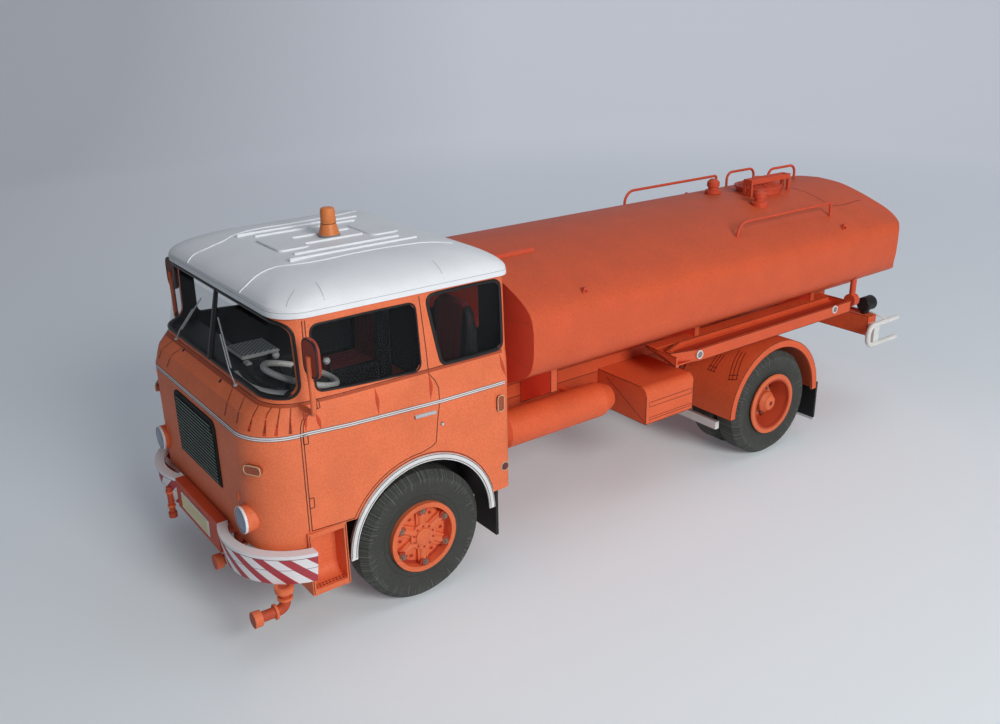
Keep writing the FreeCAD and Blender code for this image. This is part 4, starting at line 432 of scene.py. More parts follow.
# Painted light: faces that look forward are printed a lighter orange.
print_over(tank_card, put(tree, "Math", {0: facing, 1: -0.9}, operation="LESS_THAN").outputs[0], "FF6448")
dress(tank_card, "tank_bearer_left", "tank_bearer_right")
front_section = [(0, 39.4), (14.6, 39.4), (22, 43.2), (28.8, 46.7), (32.6, 48.6), (35.4, 50.5), (37.0, 53.1),
                 (37.55, 56.6), (37.6, 60.2), (37.4, 63.2), (36.5, 65.9), (34.6, 67.9), (31.4, 69.8),
                 (28.2, 71.2), (24.5, 72.5), (17.5, 74.3), (9, 75.6), (0, 76.1)]
rear_section = [(0, 39.4), (14.6, 39.4), (22, 43.2), (28.8, 46.7), (33.2, 49.0), (35.6, 50.6), (36.6, 52.6),
                (37.4, 55.2), (37.6, 60.2), (37.5, 63.4), (36.5, 65.8), (34.4, 66.9), (31.0, 68.3),
                (27.5, 69.7), (23.5, 71.2), (17.0, 73.4), (9, 75.4), (0, 76.1)]


def through(places, parts=4):
    """A smooth line through places."""
    line = []
    for before, here, there, after in zip([places[0]] + places, places, places[1:], places[2:] + [places[-1]]):
        a, b, c, d = (Vector(place) for place in (before, here, there, after))
        for part in range(parts):
            t = part / parts
            line.append(0.5 * (2 * b + (c - a) * t + (2 * a - 5 * b + 4 * c - d) * t * t
                               + (3 * b - 3 * c + d - a) * t ** 3))
    return line + [Vector(places[-1])]


def whole_section(half):
    """A closed outline from its left half."""
    side = through(half)
    return side + [Vector((-place.x, place.y)) for place in side[-2:0:-1]]


def tank_end(x):
    """How far back the tank's rear face stands, x millimetres across it."""
    return cast("tank_shell", spot(max(-37.5, min(37.5, x)), 240, 60), (0, -1, 0))[0].y


def bands(many, rows, first=0):
    """Faces between rings of points, counted from the first point."""
    return [(first + row * many + i, first + row * many + (i + 1) % many,
             first + (row + 1) * many + (i + 1) % many, first + (row + 1) * many + i)
            for row in range(rows) for i in range(many)]


outline_front, outline_rear = whole_section(front_section), whole_section(rear_section)
ends = [(tank_end(place.x) - front_axle_y) * 1000 for place in outline_front]
tank_front, tank_half, tank_rows = 33.5, 37.6, 28
rear_corner, rear_middle = 184, 58
points, many = [], len(outline_front)
for row in range(tank_rows + 1):
    share = row / tank_rows
    for near, far, end in zip(outline_front, outline_rear, ends):
        y = tank_front + (end - tank_front) * share ** 0.8
        ease = max(0.0, min(1.0, (y - rear_corner) / 8))
        place = near.lerp(far, 0.45 * share + 0.55 * ease * ease * (3 - 2 * ease))
        points.append(spot(max(-tank_half, min(tank_half, place.x)), y, place.y))
for share in (0.92, 0.8, 0.65, 0.45, 0.25):
    for far in outline_rear:
        x, z = far.x * share, rear_middle + (far.y - rear_middle) * share
        points.append(Vector((x / 1000, tank_end(x), z / 1000)))
faces = bands(many, len(points) // many - 1)
faces.append(tuple(range(len(points) - many, len(points))))
faces.append(tuple(reversed(range(many))))
tank = sharpen(shape("tank_skin", points, faces, tank_card), 28)
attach(tank, "chassis")
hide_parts("tank_shell")
seam = [(3.4, 172.0), (12.1, 172.4), (22.8, 170.8), (23.7, 177.2), (22.8, 187.5)]
runs = [trace("tank_skin", (0, 0, -1), [(side * x, y, 90) for x, y in seam]) for side in (1, -1)]
seam_red = printed_card("tank_seam_ink", "8E2F1C", "7E2818", fleck=0.6)
strips("tank_seams", runs, 0.32, 0, seam_red)
fold_line = printed_card("tank_fold_line", "DD7350", "D06542", fleck=0.5)
runs = [trace("tank_skin", (0, 1, 0), [(side * x, 0, z), (side * u, 0, w)])
        for side in (1, -1) for x, z, u, w in ((22.0, 62.4, 35.6, 64.2), (24.0, 54.8, 35.6, 52.2))]
strips("tank_front_folds", runs, 0.14, 0, fold_line)


# Cab: walls of printed orange card, folded round the corners, with dull charcoal inside faces.
# Dark darts under the windows and a soft band under the belt are painted shade in the card's folds, and a
# double white stripe is printed round the waist.
cab_card = printed_card("cab_orange_card", "EE7E54", "E67045", cloud=0.14)
tree = cab_card.node_tree
cab_middle = -6.5
outward = put(tree, "VectorMath", {0: put(tree, "TexCoord").outputs["Object"], 1: spot(0, cab_middle, 50)},
              operation="SUBTRACT").outputs[0]
outward = put(tree, "VectorMath", {0: outward, 1: (1, 1, 0.0)}, operation="MULTIPLY").outputs[0]
faces_out = put(tree, "VectorMath", {0: put(tree, "NewGeometry").outputs["True Normal"], 1: outward},
                operation="DOT_PRODUCT").outputs["Value"]
inside = put(tree, "Math", {0: faces_out, 1: 0.013}, operation="LESS_THAN").outputs[0]
print_over(cab_card, inside, "222224")
dress(cab_card, "cab_body")


def cab_ring(level, first=0, last=360):
    """A level line round the outside of the cab, between two bearings about its middle."""
    run, step = [], 1.5
    middle = spot(0, cab_middle, level)
    for number in range(round((last - first) / step) + (last - first < 360)):
        angle = math.radians(first + number * step)
        way = Vector((math.cos(angle), math.sin(angle), 0))
        hit, facing = cast("cab_body", middle + way * 0.09, -way)
        if hit and (hit - middle).length > 0.02:
            run.append((hit, facing))
    return run


rubber_trim = printed_card("black_rubber_trim", "151516", "222224", roughness=0.38, cloud=0.1)
stripe_white = printed_card("stripe_white_ink", "E4E0E2", "D6D2D6", fleck=0.4)
stripe_grey = printed_card("stripe_grey_ink", "6E5A58", "5B4C4C", fleck=0.4)


def waist_run(shift):
    """A line of the waist stripe, which falls by a millimetre towards the cab's rear."""
    run = []
    for number in range(240):
        angle = math.radians(number * 1.5)
        way = Vector((math.cos(angle), math.sin(angle), 0))
        behind_corner = max(0.0, min(1.0, (33 * way.y / max(0.4, abs(way.x)) + 18) / 30))
        middle = spot(0, cab_middle, 52.5 - 1.2 * behind_corner + shift)
        run.append(cast("cab_body", middle + way * 0.09, -way))
    return [sample for sample in run if sample[0]]


for name, level, width, ink, slot in (("waist_line_low", -0.42, 0.17, stripe_grey, "black_card"),
                                      ("waist_stripe_0", -0.19, 0.3, stripe_white, "white_card"),
                                      ("waist_line", 0.04, 0.17, stripe_grey, "black_card"),
                                      ("waist_stripe_1", 0.27, 0.3, stripe_white, "white_card"),
                                      ("waist_line_high", 0.5, 0.17, stripe_grey, "black_card")):
    strips(name, [waist_run(level)], width, 0, ink, closed=True)
# Painted shade: a soft dark band under the belt ledge.
crease_shade_ink = printed_card("crease_shade_ink", "B9522F", "A84628", fleck=0.8)
strips("belt_shade", [cab_ring(59.45)], 0.75, 0, crease_shade_ink, closed=True)
strips("belt_crease", [cab_ring(59.85)], 0.2, 0, ink_line, closed=True)
# Painted shade: dark and red darts in the folds of the corners and sides, between the belt and the waist.
shade_and_print_ink = printed_card("shade_and_print_ink", "8A3520", "7A2C1A", fleck=0.8)
red_fold_shade_ink = printed_card("dart_red_ink", "CE4A2A", "C24024", fleck=0.9)
corner_darts = [[(16.4, -35.5, 59.2), (18.1, -37.3, 57.6), (19.1, -39.1, 54.2)],
                [(22.8, -35.1, 59.3), (24.4, -37.1, 57.7), (25.5, -38.8, 54.6)]]
thin_darts = [[(29.2, -34.5, 59.3), (29.9, -36.5, 57.6), (29.8, -38.0, 54.0)],
              [(32.3, -33.0, 59.3), (32.5, -34.6, 58.0), (32.9, -35.9, 53.4)],
              [(33.7, -31.9, 59.3), (34.4, -33.0, 57.1), (34.4, -33.9, 53.4)],
              [(34.9, -30.0, 59.3), (35.3, -30.6, 57.5), (35.5, -31.1, 53.4)]]
side_darts = [[(35.7, -27.7, 59.0), (35.8, -27.6, 55.7), (35.9, -27.7, 53.3)],
              [(36, -25.1, 56.9), (36.2, -24.6, 54.6), (36.2, -24.3, 53.0)],
              [(36.5, -10.7, 59.0), (36.7, -10.4, 55.8), (36.8, -10.3, 52.7)],
              [(36.5, 3.4, 58.9), (36.7, 3.8, 55.8), (36.8, 3.5, 52.5)],
              [(36.4, 23.7, 58.9), (36.7, 24.3, 55.9), (36.4, 25.5, 52.6)]]
for name, lines, ink, width in (
        ("cab_soft_darts", corner_darts, crease_shade_ink, lambda t: 0.25 + 0.55 * t),
        ("cab_darts", thin_darts, shade_and_print_ink, lambda t: 0.2 + 0.3 * t),
        ("cab_dart_feet", [line[1:] for line in thin_darts], red_fold_shade_ink, lambda t: 0.15 + 0.7 * t),
        ("cab_side_darts", side_darts, red_fold_shade_ink, lambda t: 0.12 + 0.8 * math.sin(t * math.pi) ** 1.5)):
    runs = []
    for line in lines:
        for side in (1, -1):
            way = (-side, 0, 0) if line[0][1] > -29 else (-side * 0.62, 0.78, 0)
            runs.append(trace("cab_body", way, [(side * x, y, z) for x, y, z in line]))
    strips(name, runs, width, 0, ink)


# Cab doors: printed on the side walls, with a double seam, two hinges, a handle and a lock.
# The handle is a strip of silver card, folded and glued on.
arch_y, arch_z, seam_reach = 0.45, 18.3, 21.5
runs = []
for side in (1, -1):
    front_seam = [(-25.9, 77.6), (-26.2, 68), (-25.6, 60.3), (-24.7, 59.4), (-24.6, 57.9), (-26.1, 57.3),
                  (-27.4, 56.8), (-28.3, 55.8), (-28.8, 54.4), (-29.0, 52.3), (-29.1, 28.8)]
    for shift in (0.0, 0.6):
        runs.append(trace("cab_body", (-side, 0, 0), [(side * 40, y + shift, z) for y, z in front_seam]))
    rear_seam = [(2.4, 77.5), (2.8, 72.0), (3.3, 65.1), (3.6, 58.7), (5.0, 56.8), (5.8, 54.9), (5.9, 51.2),
                 (5.1, 46.5), (4.5, 41.3), (3.2, 40.5)]
    angles = [math.radians(degree) for degree in range(90, 151, 3)]
    rear_seam += [(arch_y + seam_reach * math.cos(a), arch_z + seam_reach * math.sin(a)) for a in angles]
    runs.append(trace("cab_body", (-side, 0, 0), [(side * 40, y, z) for y, z in rear_seam]))
    runs.append(trace("cab_body", (-side, 0, 0), [(side * 40, -28.6, 28.9), (side * 40, -18.2, 28.9)]))
    for low, high in ((50.2, 52.4), (34.6, 37.0)):
        hinge = [(-28.5, low), (-27.4, low), (-27.4, high), (-28.5, high), (-28.5, low)]
        runs.append(trace("cab_body", (-side, 0, 0), [(side * 40, y, z) for y, z in hinge], 0.3))
strips("door_seams", runs, 0.22, 0, ink_line)
silver_card = printed_card("silver_card", "C3C8CC", "B1B6BB", roughness=0.35)
for side, tag in ((1, "left"), (-1, "right")):
    grip = trace("cab_body", (-side, 0, 0), [(side * 40, -1.1, 49.3), (side * 40, 4.6, 49.1)])
    strips("door_handle_" + tag, [grip], 0.85, 0.55, silver_card)
    barrel = lathe("barrel", [(0.5, -0.1), (0.5, 0.12), (0.42, 0.16)], ink_line, 20)
    face = lathe("face", [(0.42, 0.12), (0.38, 0.28), (0, 0.34)], silver_card, 20)
    hit = cast("cab_body", spot(side * 60, 6.4, 45.5), (-side, 0, 0))[0]
    for piece in (barrel, face):
        piece.matrix_world = Matrix.Translation(hit) @ Matrix.Scale(side, 4, (1, 0, 0))
    lock = joined("door_lock_" + tag, [barrel, face])
    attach(lock, "chassis")


# Cab windows: clear film glued behind the card, with black rubber round each opening.
# The film has a hard shine and a faint smoky cast, and the windscreen is split by a black bar.
clear_film = bpy.data.materials.new("clear_film")
clear_film.use_nodes = True
film = clear_film.node_tree.nodes["Principled BSDF"]
film.inputs["Roughness"].default_value = 0.06
film.inputs["IOR"].default_value = 1.45
film.inputs["Alpha"].default_value = 0.08
tree = clear_film.node_tree
where = put(tree, "TexCoord").outputs["Object"]
smoke = put(tree, "TexNoise", {"Vector": where, "Scale": 90.0, "Detail": 3.0})
tint = put(tree, "Mix", {0: smoke.outputs[0], 6: linear("30363A"), 7: linear("41484B")},
           data_type="RGBA").outputs[2]
tree.links.new(tint, film.inputs["Base Color"])
dress(clear_film, "cab_glass")


def rounded(corners, radius, steps=6):
    """A closed outline with its corners rounded."""
    outline = []
    count = len(corners)
    for i, corner in enumerate(corners):
        before = (corners[i - 1] - corner).normalized()
        after = (corners[(i + 1) % count] - corner).normalized()
        half = before.angle(after) / 2
        cut = min(radius / math.tan(half), (corners[i - 1] - corner).length * 0.49,
                  (corners[(i + 1) % count] - corner).length * 0.49)
        for step in range(steps + 1):
            t = step / steps
            outline.append(corner + before * cut * (1 - t) ** 2 + after * cut * t ** 2)
    return outline


def filled(outline, step=0.8):
    """The outline with more places between its points."""
    whole = []
    for here, there in zip(outline, outline[1:] + outline[:1]):
        parts = max(1, round((there - here).length / step))
        whole += [here.lerp(there, part / parts) for part in range(parts)]
    return whole


belt, header = 60.0, 78.3
rings = []
for side in (1, -1):
    door = [(-24.2, belt + 1.6), (1.5, belt + 0.2), (1.0, header - 2.1), (-24.2, header - 2.1)]
    quarter = [(7.6, belt + 0.4), (24.4, belt + 0.4), (24.4, header - 1.3), (4.4, header - 1.3)]
    for corners in (door, quarter):
        outline = filled(rounded([Vector(corner) for corner in corners], 2.0))
        middle = sum(outline, Vector((0, 0))) / len(outline)
        run = []
        for place in outline:
            y, z = place + (place - middle).normalized() * (0.22 if corners is door else 0.35)
            hit, facing = cast("cab_body", spot(side * 60, y, z), (-side, 0, 0))
            if hit and hit.x * side > 0.03:
                run.append((hit, facing))
        rings.append(run)
outline = filled(rounded([Vector(corner) for corner in ((25, 61.4), (25, 77), (-25, 77), (-25, 61.4))], 2.0))
rings.append([cast("cab_body", spot(x * 1.012, 60, 69 + (z - 69) * 1.04), (0, -1, 0)) for x, z in outline])
for side in (1, -1):
    sill, head, back = belt + 1.4, header - 1.3, -28.2
    upright = [(side * 60, back + 0.35 - 3.0 * (1 - math.sin(a)), sill - 0.3 + 3.0 * (1 - math.cos(a)))
               for a in (math.radians(d) for d in range(0, 91, 15))]
    upright += [(side * 60, back + 0.35 - 3.0 * (1 - math.sin(a)), head + 0.3 - 3.0 * (1 - math.cos(a)))
                for a in (math.radians(d) for d in range(90, -1, -15))]
    first, last = (-90, -33) if side == 1 else (-147, -90)
    low = cab_ring(sill - 0.3, first, last)[::side]
    high = cab_ring(head + 0.3, first, last)[::side]
    pillar = trace("cab_body", (-side, 0, 0), upright, 0.5)
    low = [sample for sample in low if sample[0].y < pillar[0][0].y]
    high = [sample for sample in high if sample[0].y < pillar[-1][0].y]
    rings.append(low + pillar + high[::-1])
strips("door_window_rubbers", [rings[0], rings[2]], 0.5, 0.25, rubber_trim, closed=True)
strips("rear_window_rubbers", [rings[1], rings[3], rings[4]], 0.85, 0.3, rubber_trim, closed=True)
strips("windscreen_rubbers", rings[5:], 0.75, 0.3, rubber_trim)
bar = trace("cab_body", (0, 1, 0), [(0, -60, 60.9), (0, -60, 77.6)])
strips("windscreen_bar", [bar], 1.8, 0.4, rubber_trim)


# Wipers: arm and blade drawn thin in grey wire, pinned through the card under the windscreen.
# Two more holes beside them, where spare spindles would sit, are black discs of painted shade.
grey_wire = printed_card("grey_wire", "A9ADB0", "93979B", roughness=0.4, fleck=0.5)


def wire(name, path, radius, material, body="chassis", closed=False, bend=0):
    """A bent wire or rod through places in metres; bend rounds its corners as a smooth spline."""
    curve = bpy.data.curves.new(name, "CURVE")
    curve.dimensions = "3D"
    curve.bevel_depth = radius / 1000
    curve.bevel_resolution = 3
    curve.use_fill_caps = True
    line = curve.splines.new("NURBS" if bend else "POLY")
    line.points.add(len(path) - 1)
    for point, place in zip(line.points, path):
        point.co = (*place, 1.0)
    if bend:
        line.order_u = bend
        line.use_endpoint_u = not closed
        line.resolution_u = 6
    line.use_cyclic_u = closed
    curve.materials.append(material)
    drawn = bpy.data.objects.new(name + "_curve", curve)
    scene.collection.objects.link(drawn)
    mesh = bpy.data.meshes.new_from_object(drawn)
    bpy.data.objects.remove(drawn)
    mesh.polygons.foreach_set("use_smooth", [True] * len(mesh.polygons))
    made = bpy.data.objects.new(name, mesh)
    scene.collection.objects.link(made)
    if body:
        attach(made, body)
    return made


wipers = []
for tag, base, tip in (("right", (-21.8, 60.0), (-7.5, 73.6)), ("left", (17.1, 59.8), (3.7, 71.7))):
    line = []
    for t in (0.0, 0.25, 0.5, 0.75, 1.0):
        x, z = (low + (high - low) * t for low, high in zip(base, tip))
        wall = cast("cab_body", spot(x, -60, z), (0, 1, 0))[0]
        glass = cast("cab_glass", spot(x, -60, z), (0, 1, 0))[0]
        hit = glass if glass and (not wall or glass.y < wall.y) else wall
        lift = 0.0011 if t else 0.0003
        line.append(hit - Vector((0, lift, 0)))
    wipers.append(wire("wiper_arm_" + tag, line[:4], 0.15, grey_wire, body=None))
    blade = [place + Vector((0, 0.0005, 0)) for place in line[1:]]
    wipers.append(wire("wiper_blade_" + tag, blade, 0.17, grey_wire, body=None))
    wipers.append(lathe("spindle", [(0.4, -0.6), (0.36, 0.3), (0.2, 0.45), (0, 0.5)], grey_wire, 16))
    wipers[-1].matrix_world = Matrix.Translation(line[0]) @ Matrix.Rotation(math.radians(-90), 4, "Z")
wiper_set = joined("wiper_set", wipers)
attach(wiper_set, "chassis")
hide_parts("wipers")
holes = []
for x, z in ((-14.9, 59.1), (9.9, 58.8)):
    hit, facing = cast("cab_body", spot(x, -60, z), (0, 1, 0))
    # Painted shade: a black disc for each open hole.
    hole = lathe("hole", [(0.55, 0.02), (0.5, 0.05), (0, 0.05)], black_card, 12, smooth=False)
    hole.matrix_world = Matrix.Translation(hit) @ facing.to_track_quat("X", "Z").to_matrix().to_4x4()
    holes.append(hole)
spare_holes = joined("spare_spindle_holes", holes)
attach(spare_holes, "chassis")


# Cab roof: white card, pressed into a shallow dome with glued ribs, two flaps and a bead on each side.
# It is satin white with a faint grey bloom, and its glued seams show as hair lines.
white_card = printed_card("white_card", "EEF1F6", "E6EAF0", roughness=0.5, fleck=0.5, cloud=0.05)
roof_lining = printed_card("roof_lining", "3A3B3D", "303133")


def roof_ring(inset, height):
    """One level of the dome: a rounded outline, drawn in as it rises."""
    half, nose = 36.5 - 17.0 * inset, 36.0 - 17.0 * inset
    front, back = -31.5 + 19.0 * inset, 27.7 - 12.0 * inset
    ring = []
    for cx, cy, reach, first in ((-1, back, 3.2 + 6 * inset, 90), (-1, front, 7.4 + 6 * inset, 180),
                                 (1, front, 7.4 + 6 * inset, 270), (1, back, 3.2 + 6 * inset, 0)):
        wide = (nose if cy == front else half) - reach
        deep = cy + reach if cy == front else cy - reach
        for step in range(9):
            angle = math.radians(first + step * 11.25)
            ring.append((cx * wide + reach * math.cos(angle), deep + reach * math.sin(angle), height))
    whole = []
    for number, (here, there) in enumerate(zip(ring, ring[1:] + ring[:1])):
        parts = 10 if number % 9 == 8 else 1
        whole += [Vector(here).lerp(Vector(there), part / parts) for part in range(parts)]
    return whole


def dome(name, shrink, drop, material):
    """The roof's outer or inner skin, from its lower edge to the middle of its top."""
    base = shrink / 17
    rings = [roof_ring(base, header), roof_ring(base, 79.3), roof_ring(base + 0.006, 79.6)]
    for step in range(1, 15):
        inset = (step / 14) ** 1.7
        rings.append(roof_ring(inset + base, 79.6 + 5.6 * (1 - (1 - inset) ** 2) ** 0.55 - drop))
    points = [spot(*place) for ring in rings for place in ring] + [spot(0, -1, 85.2 - drop)]
    many = len(rings[0])
    faces = bands(many, len(rings) - 1)
    last = (len(rings) - 1) * many
    faces += [(last + i, last + (i + 1) % many, len(points) - 1) for i in range(many)]
    return shape(name, points, faces, material)


def bar_on_roof(name, x, front, back, half, rise, reach, material):
    """A flat piece with rounded ends and an eased top edge, glued on the roof."""
    corners = ((x - half, front), (x + half, front), (x + half, back), (x - half, back))
    outline = rounded([Vector(corner) for corner in corners], reach)
    middle = Vector((x, (front + back) / 2))
    levels = ((0, 84.6), (0, 85.2 + rise * 0.6), (0.12, 85.2 + rise))
    points, many = [], len(outline)
    for shrink, height in levels:
        for place in outline:
            way = place - middle
            way = Vector((max(-1, min(1, way.x / half)), max(-1, min(1, way.y / ((back - front) / 2)))))
            points.append(spot(place.x - way.x * shrink, place.y - way.y * shrink, height))
    faces = bands(many, 2)
    faces.append(tuple(range(2 * many, 3 * many)))
    return shape(name, points, faces, material)


pieces = [dome("skin", 0, 0, white_card), dome("lining", 1.0, 0.9, roof_lining)]
for side in (1, -1):
    for x, front, back in ((15.2, -18.6, 15.0), (11.2, -15.6, 12.3), (3.6, -9.2, 6.4)):
        pieces.append(bar_on_roof("rib", side * x, front, back, 0.4, 0.42, 0.38, white_card))
pieces.append(bar_on_roof("flap", 0, -17.2, -9.2, 7.1, 0.36, 2.0, white_card))
pieces.append(bar_on_roof("flap", 0, 7.4, 15.2, 7.1, 0.36, 2.0, white_card))
roof = joined("roof_dome", pieces)
roof.data.set_sharp_from_angle(angle=math.radians(24))
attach(roof, "chassis")
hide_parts("cab_roof")


def on_roof(points):
    """Places pressed down onto the dome."""
    run = []
    for (x, y), (u, v) in zip(points, points[1:]):
        parts = max(1, round(math.hypot(u - x, v - y) / 0.7))
        for part in range(parts + 1):
            above = spot(x + (u - x) * part / parts, y + (v - y) * part / parts, 95)
            hit, facing = cast("roof_dome", above, (0, 0, -1))
            if hit and (not run or (hit - run[-1][0]).length > 0.0002):
                run.append((hit, facing if facing.z > 0 else -facing))
    return run


hair_line = printed_card("grey_hair_line", "A3A8B0", "989DA6", fleck=0.4)
bead = [(15.9, -31.6), (16.5, -29.6), (15.3, -26.1), (15.5, -22.1), (17.9, -18.4), (19.4, -12.6), (19.0, -3.2),
        (19.5, 6.2), (20.9, 14.1), (24.0, 19.7)]
runs = [on_roof([(side * x, y) for x, y in through(bead)]) for side in (1, -1)]
strips("roof_beads", runs, 0.42, 0.2, white_card)
seams = [[(34, -28.8), (32, -26.8), (30.1, -24.6)], [(36.0, -20.6), (34.3, -20.2), (29.9, -19.5)],
         [(36.0, 9), (35, 9.1), (31, 9.3)]]
runs = [on_roof([(side * x, y) for x, y in line]) for line in seams for side in (1, -1)]
strips("roof_seams", runs, 0.12, 0, hair_line)
edge = roof_ring(0, 79.55)
run = [(spot(*place), Vector((place.x, place.y * 0.6, 0)).normalized()) for place in edge]
strips("roof_lower_line", [run], 0.1, 0, hair_line, closed=True)


# Beacon: an orange card cone with a rounded cap, on a thin grey ring glued to the roof.
# A dark hair line shows where its two parts meet.
beacon_low, beacon_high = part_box("beacon")
beacon_card = printed_card("beacon_orange_card", "E58A50", "DB7C43", roughness=0.42)
grey_ring = printed_card("grey_ring_card", "8E9299", "7C8087")
middle = (beacon_low + beacon_high) / 2
cone = lathe("cone", [(2.55, 0.55), (2.45, 1.0), (2.1, 2.4), (1.93, 3.2), (1.89, 3.25), (1.89, 3.33),
                      (1.92, 3.38), (1.84, 5.0), (1.82, 6.3), (1.7, 6.85), (1.4, 7.1), (0.9, 7.18), (0, 7.2)],
             beacon_card, 40)
ring = lathe("ring", [(2.7, 0.0), (2.7, 0.5), (2.5, 0.58)], grey_ring, 40)
line = lathe("line", [(1.93, 3.22), (1.93, 3.36)], ink_line, 40)
upright_place = Matrix.Translation((middle.x, middle.y, beacon_low.z)) @ Matrix.Rotation(-math.pi / 2, 4, "Y")
for piece in (cone, ring, line):
    piece.matrix_world = upright_place
beacon = joined("beacon_lamp", [cone, ring, line])
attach(beacon, "chassis")
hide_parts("beacon")


# Grille: a black card panel with narrow grey slats glued across it.
# The slats are dull grey green on their fronts, and every other face is printed dark as painted shade between
# them.
grille_black = printed_card("grille_black_card", "0C0D0C", "121413", roughness=0.8)
slat_card = printed_card("grille_slat_card", "7C857F", "6C746F", roughness=0.8)
tree = slat_card.node_tree
# Painted shade: all but the front faces of the slats are printed dark.
facing = put(tree, "SeparateXYZ", {0: put(tree, "NewGeometry").outputs["Normal"]}).outputs[1]
edges = put(tree, "Math", {0: facing, 1: -0.7}, operation="GREATER_THAN").outputs[0]
print_over(slat_card, edges, "202322")
dress(grille_black, "grille_frame")
dress(slat_card, "grille_slats")


# Headlamps: orange card bowls with a white rim and a blue-grey printed lens.
# The lens ink has paler streaks half a millimetre apart, as the picture of a fluted glass.
dress(orange_card, "headlamps")
lens_card = printed_card("headlamp_lens_card", "6C7C9B", "8C9AB4", roughness=0.3)
tree = lens_card.node_tree
where = put(tree, "TexCoord").outputs["Object"]
flutes = put(tree, "TexWave", {"Vector": where, "Scale": 620.0, "Distortion": 3.0, "Detail": 2.0},
             bands_direction="X").outputs[0]
flutes = put(tree, "MapRange", {"Value": flutes, "From Min": 0.5, "From Max": 0.9, "To Max": 0.5}).outputs[0]
print_over(lens_card, flutes, "B9C4D6")
for side, tag in ((1, "left"), (-1, "right")):
    rim = lathe("rim", [(3.2, -0.5), (3.22, 0.05), (3.12, 0.16), (2.98, 0.1), (2.9, -0.02)], white_card, 40)
    glass = lathe("glass", [(2.92, 0.0), (2.3, 0.2), (1.2, 0.36), (0, 0.42)], lens_card, 40)
    groove = lathe("groove", [(2.98, 0.1), (2.86, 0.05)], black_card, 40)
    lamp_place = Matrix.Translation(spot(side * 27.0, -41.2, 32.2)) @ Matrix.Rotation(-math.pi / 2, 4, "Z")
    for piece in (rim, glass, groove):
        piece.matrix_world = lamp_place
    lens = joined("headlamp_lens_" + tag, [rim, glass, groove])
    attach(lens, "chassis")


# Corner lamps: brown-orange lenses in cream rims, one on each front corner and one tall one by each door.
# A round reflector sits low behind each front wheel.
lens_brown = printed_card("indicator_lens_card", "A8573A", "93452C", roughness=0.3)
cream_card = printed_card("cream_card", "D8BE9C", "C9AC8A")
purple_card = printed_card("reflector_card", "6D3A3C", "5A2D33", roughness=0.3)
dress(lens_brown, "corner_lamps")
for side, tag in ((1, "left"), (-1, "right")):
    turn_out = math.radians(31)
    along = Vector((side * math.cos(turn_out), math.sin(turn_out), 0))
    out = Vector((side * math.sin(turn_out), -math.cos(turn_out), 0))
    corners = [Vector(corner) for corner in ((-2.15, -1.05), (2.15, -1.05), (2.15, 1.05), (-2.15, 1.05))]
    loop = [spot(side * 30.5, -38.1, 45.3) + (along * u + out * 0.85 + Vector((0, 0, v))) / 1000
            for u, v in rounded(corners, 1.05)]
    wire("indicator_rim_" + tag, loop, 0.13, cream_card, closed=True)
    corners = [Vector(corner) for corner in ((-0.95, -2.1), (0.95, -2.1), (0.95, 2.1), (-0.95, 2.1))]
    loop = [spot(side * 37.55, 23.2 + u, 46.4 + v) for u, v in rounded(corners, 0.95)]
    wire("side_lamp_rim_" + tag, loop, 0.12, cream_card, closed=True)
    ring = lathe("ring", [(1.25, 0.0), (1.23, 0.22), (1.08, 0.27), (1.02, 0.2)], cream_card, 32)
    disc = lathe("disc", [(1.04, 0.18), (0.5, 0.27), (0, 0.3)], purple_card, 32)
    low_corner = Matrix.Translation(spot(side * 36.8, 24.5, 28.6)) @ Matrix.Scale(side, 4, (1, 0, 0))
    for piece in (ring, disc):
        piece.matrix_world = low_corner
    reflector = joined("cab_reflector_" + tag, [ring, disc])
    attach(reflector, "chassis")


# Bumper: white card ends printed with slanted red stripes 6.4 mm apart, bent round each corner,
# and a plain red-orange centre. A hair line runs under the white top, and the plate is blank.
bumper_red = printed_card("bumper_red_card", "D4532F", "C74725")
dress(bumper_red, "bumper_centre")
striped_card = printed_card("striped_white_card", "F0EEF2", "E8E6EB", fleck=0.5, cloud=0.04)
tree = striped_card.node_tree
where = put(tree, "TexCoord").outputs["Object"]
millimetres = put(tree, "VectorMath", {0: where, "Scale": 1000.0}, operation="SCALE").outputs[0]
flat = put(tree, "SeparateXYZ", {0: millimetres}).outputs
wide = put(tree, "Math", {0: flat[0]}, operation="ABSOLUTE").outputs[0]
bend_x, bend_y, bend_radius = 22.19, -25.74, 18.6
white_end, white_top = 14.3, 24.9
pitch, stripe, slope = 6.4, 3.0, 1.1
out = put(tree, "Math", {0: wide, 1: bend_x}, operation="SUBTRACT").outputs[0]
ahead = put(tree, "Math", {0: front_axle_y * 1000 + bend_y, 1: flat[1]}, operation="SUBTRACT").outputs[0]
bearing = put(tree, "Math", {0: out, 1: ahead}, operation="ARCTAN2").outputs[0]
bearing = put(tree, "Math", {0: bearing, 1: 0.0}, operation="MAXIMUM").outputs[0]
arc = put(tree, "Math", {0: bearing, 1: bend_radius}, operation="MULTIPLY").outputs[0]
straight = put(tree, "Math", {0: wide, 1: white_end}, operation="SUBTRACT").outputs[0]
straight = put(tree, "Math", {0: straight, 1: bend_x - white_end}, operation="MINIMUM").outputs[0]
along = put(tree, "Math", {0: arc, 1: straight}, operation="ADD").outputs[0]
slant = put(tree, "Math", {0: flat[2], 1: slope}, operation="MULTIPLY").outputs[0]
course = put(tree, "Math", {0: along, 1: slant}, operation="ADD").outputs[0]
course = put(tree, "Math", {0: course, 1: 10 * pitch - 5.0 - slope * white_top}, operation="ADD").outputs[0]
phase = put(tree, "Math", {0: course, 1: pitch}, operation="MODULO").outputs[0]
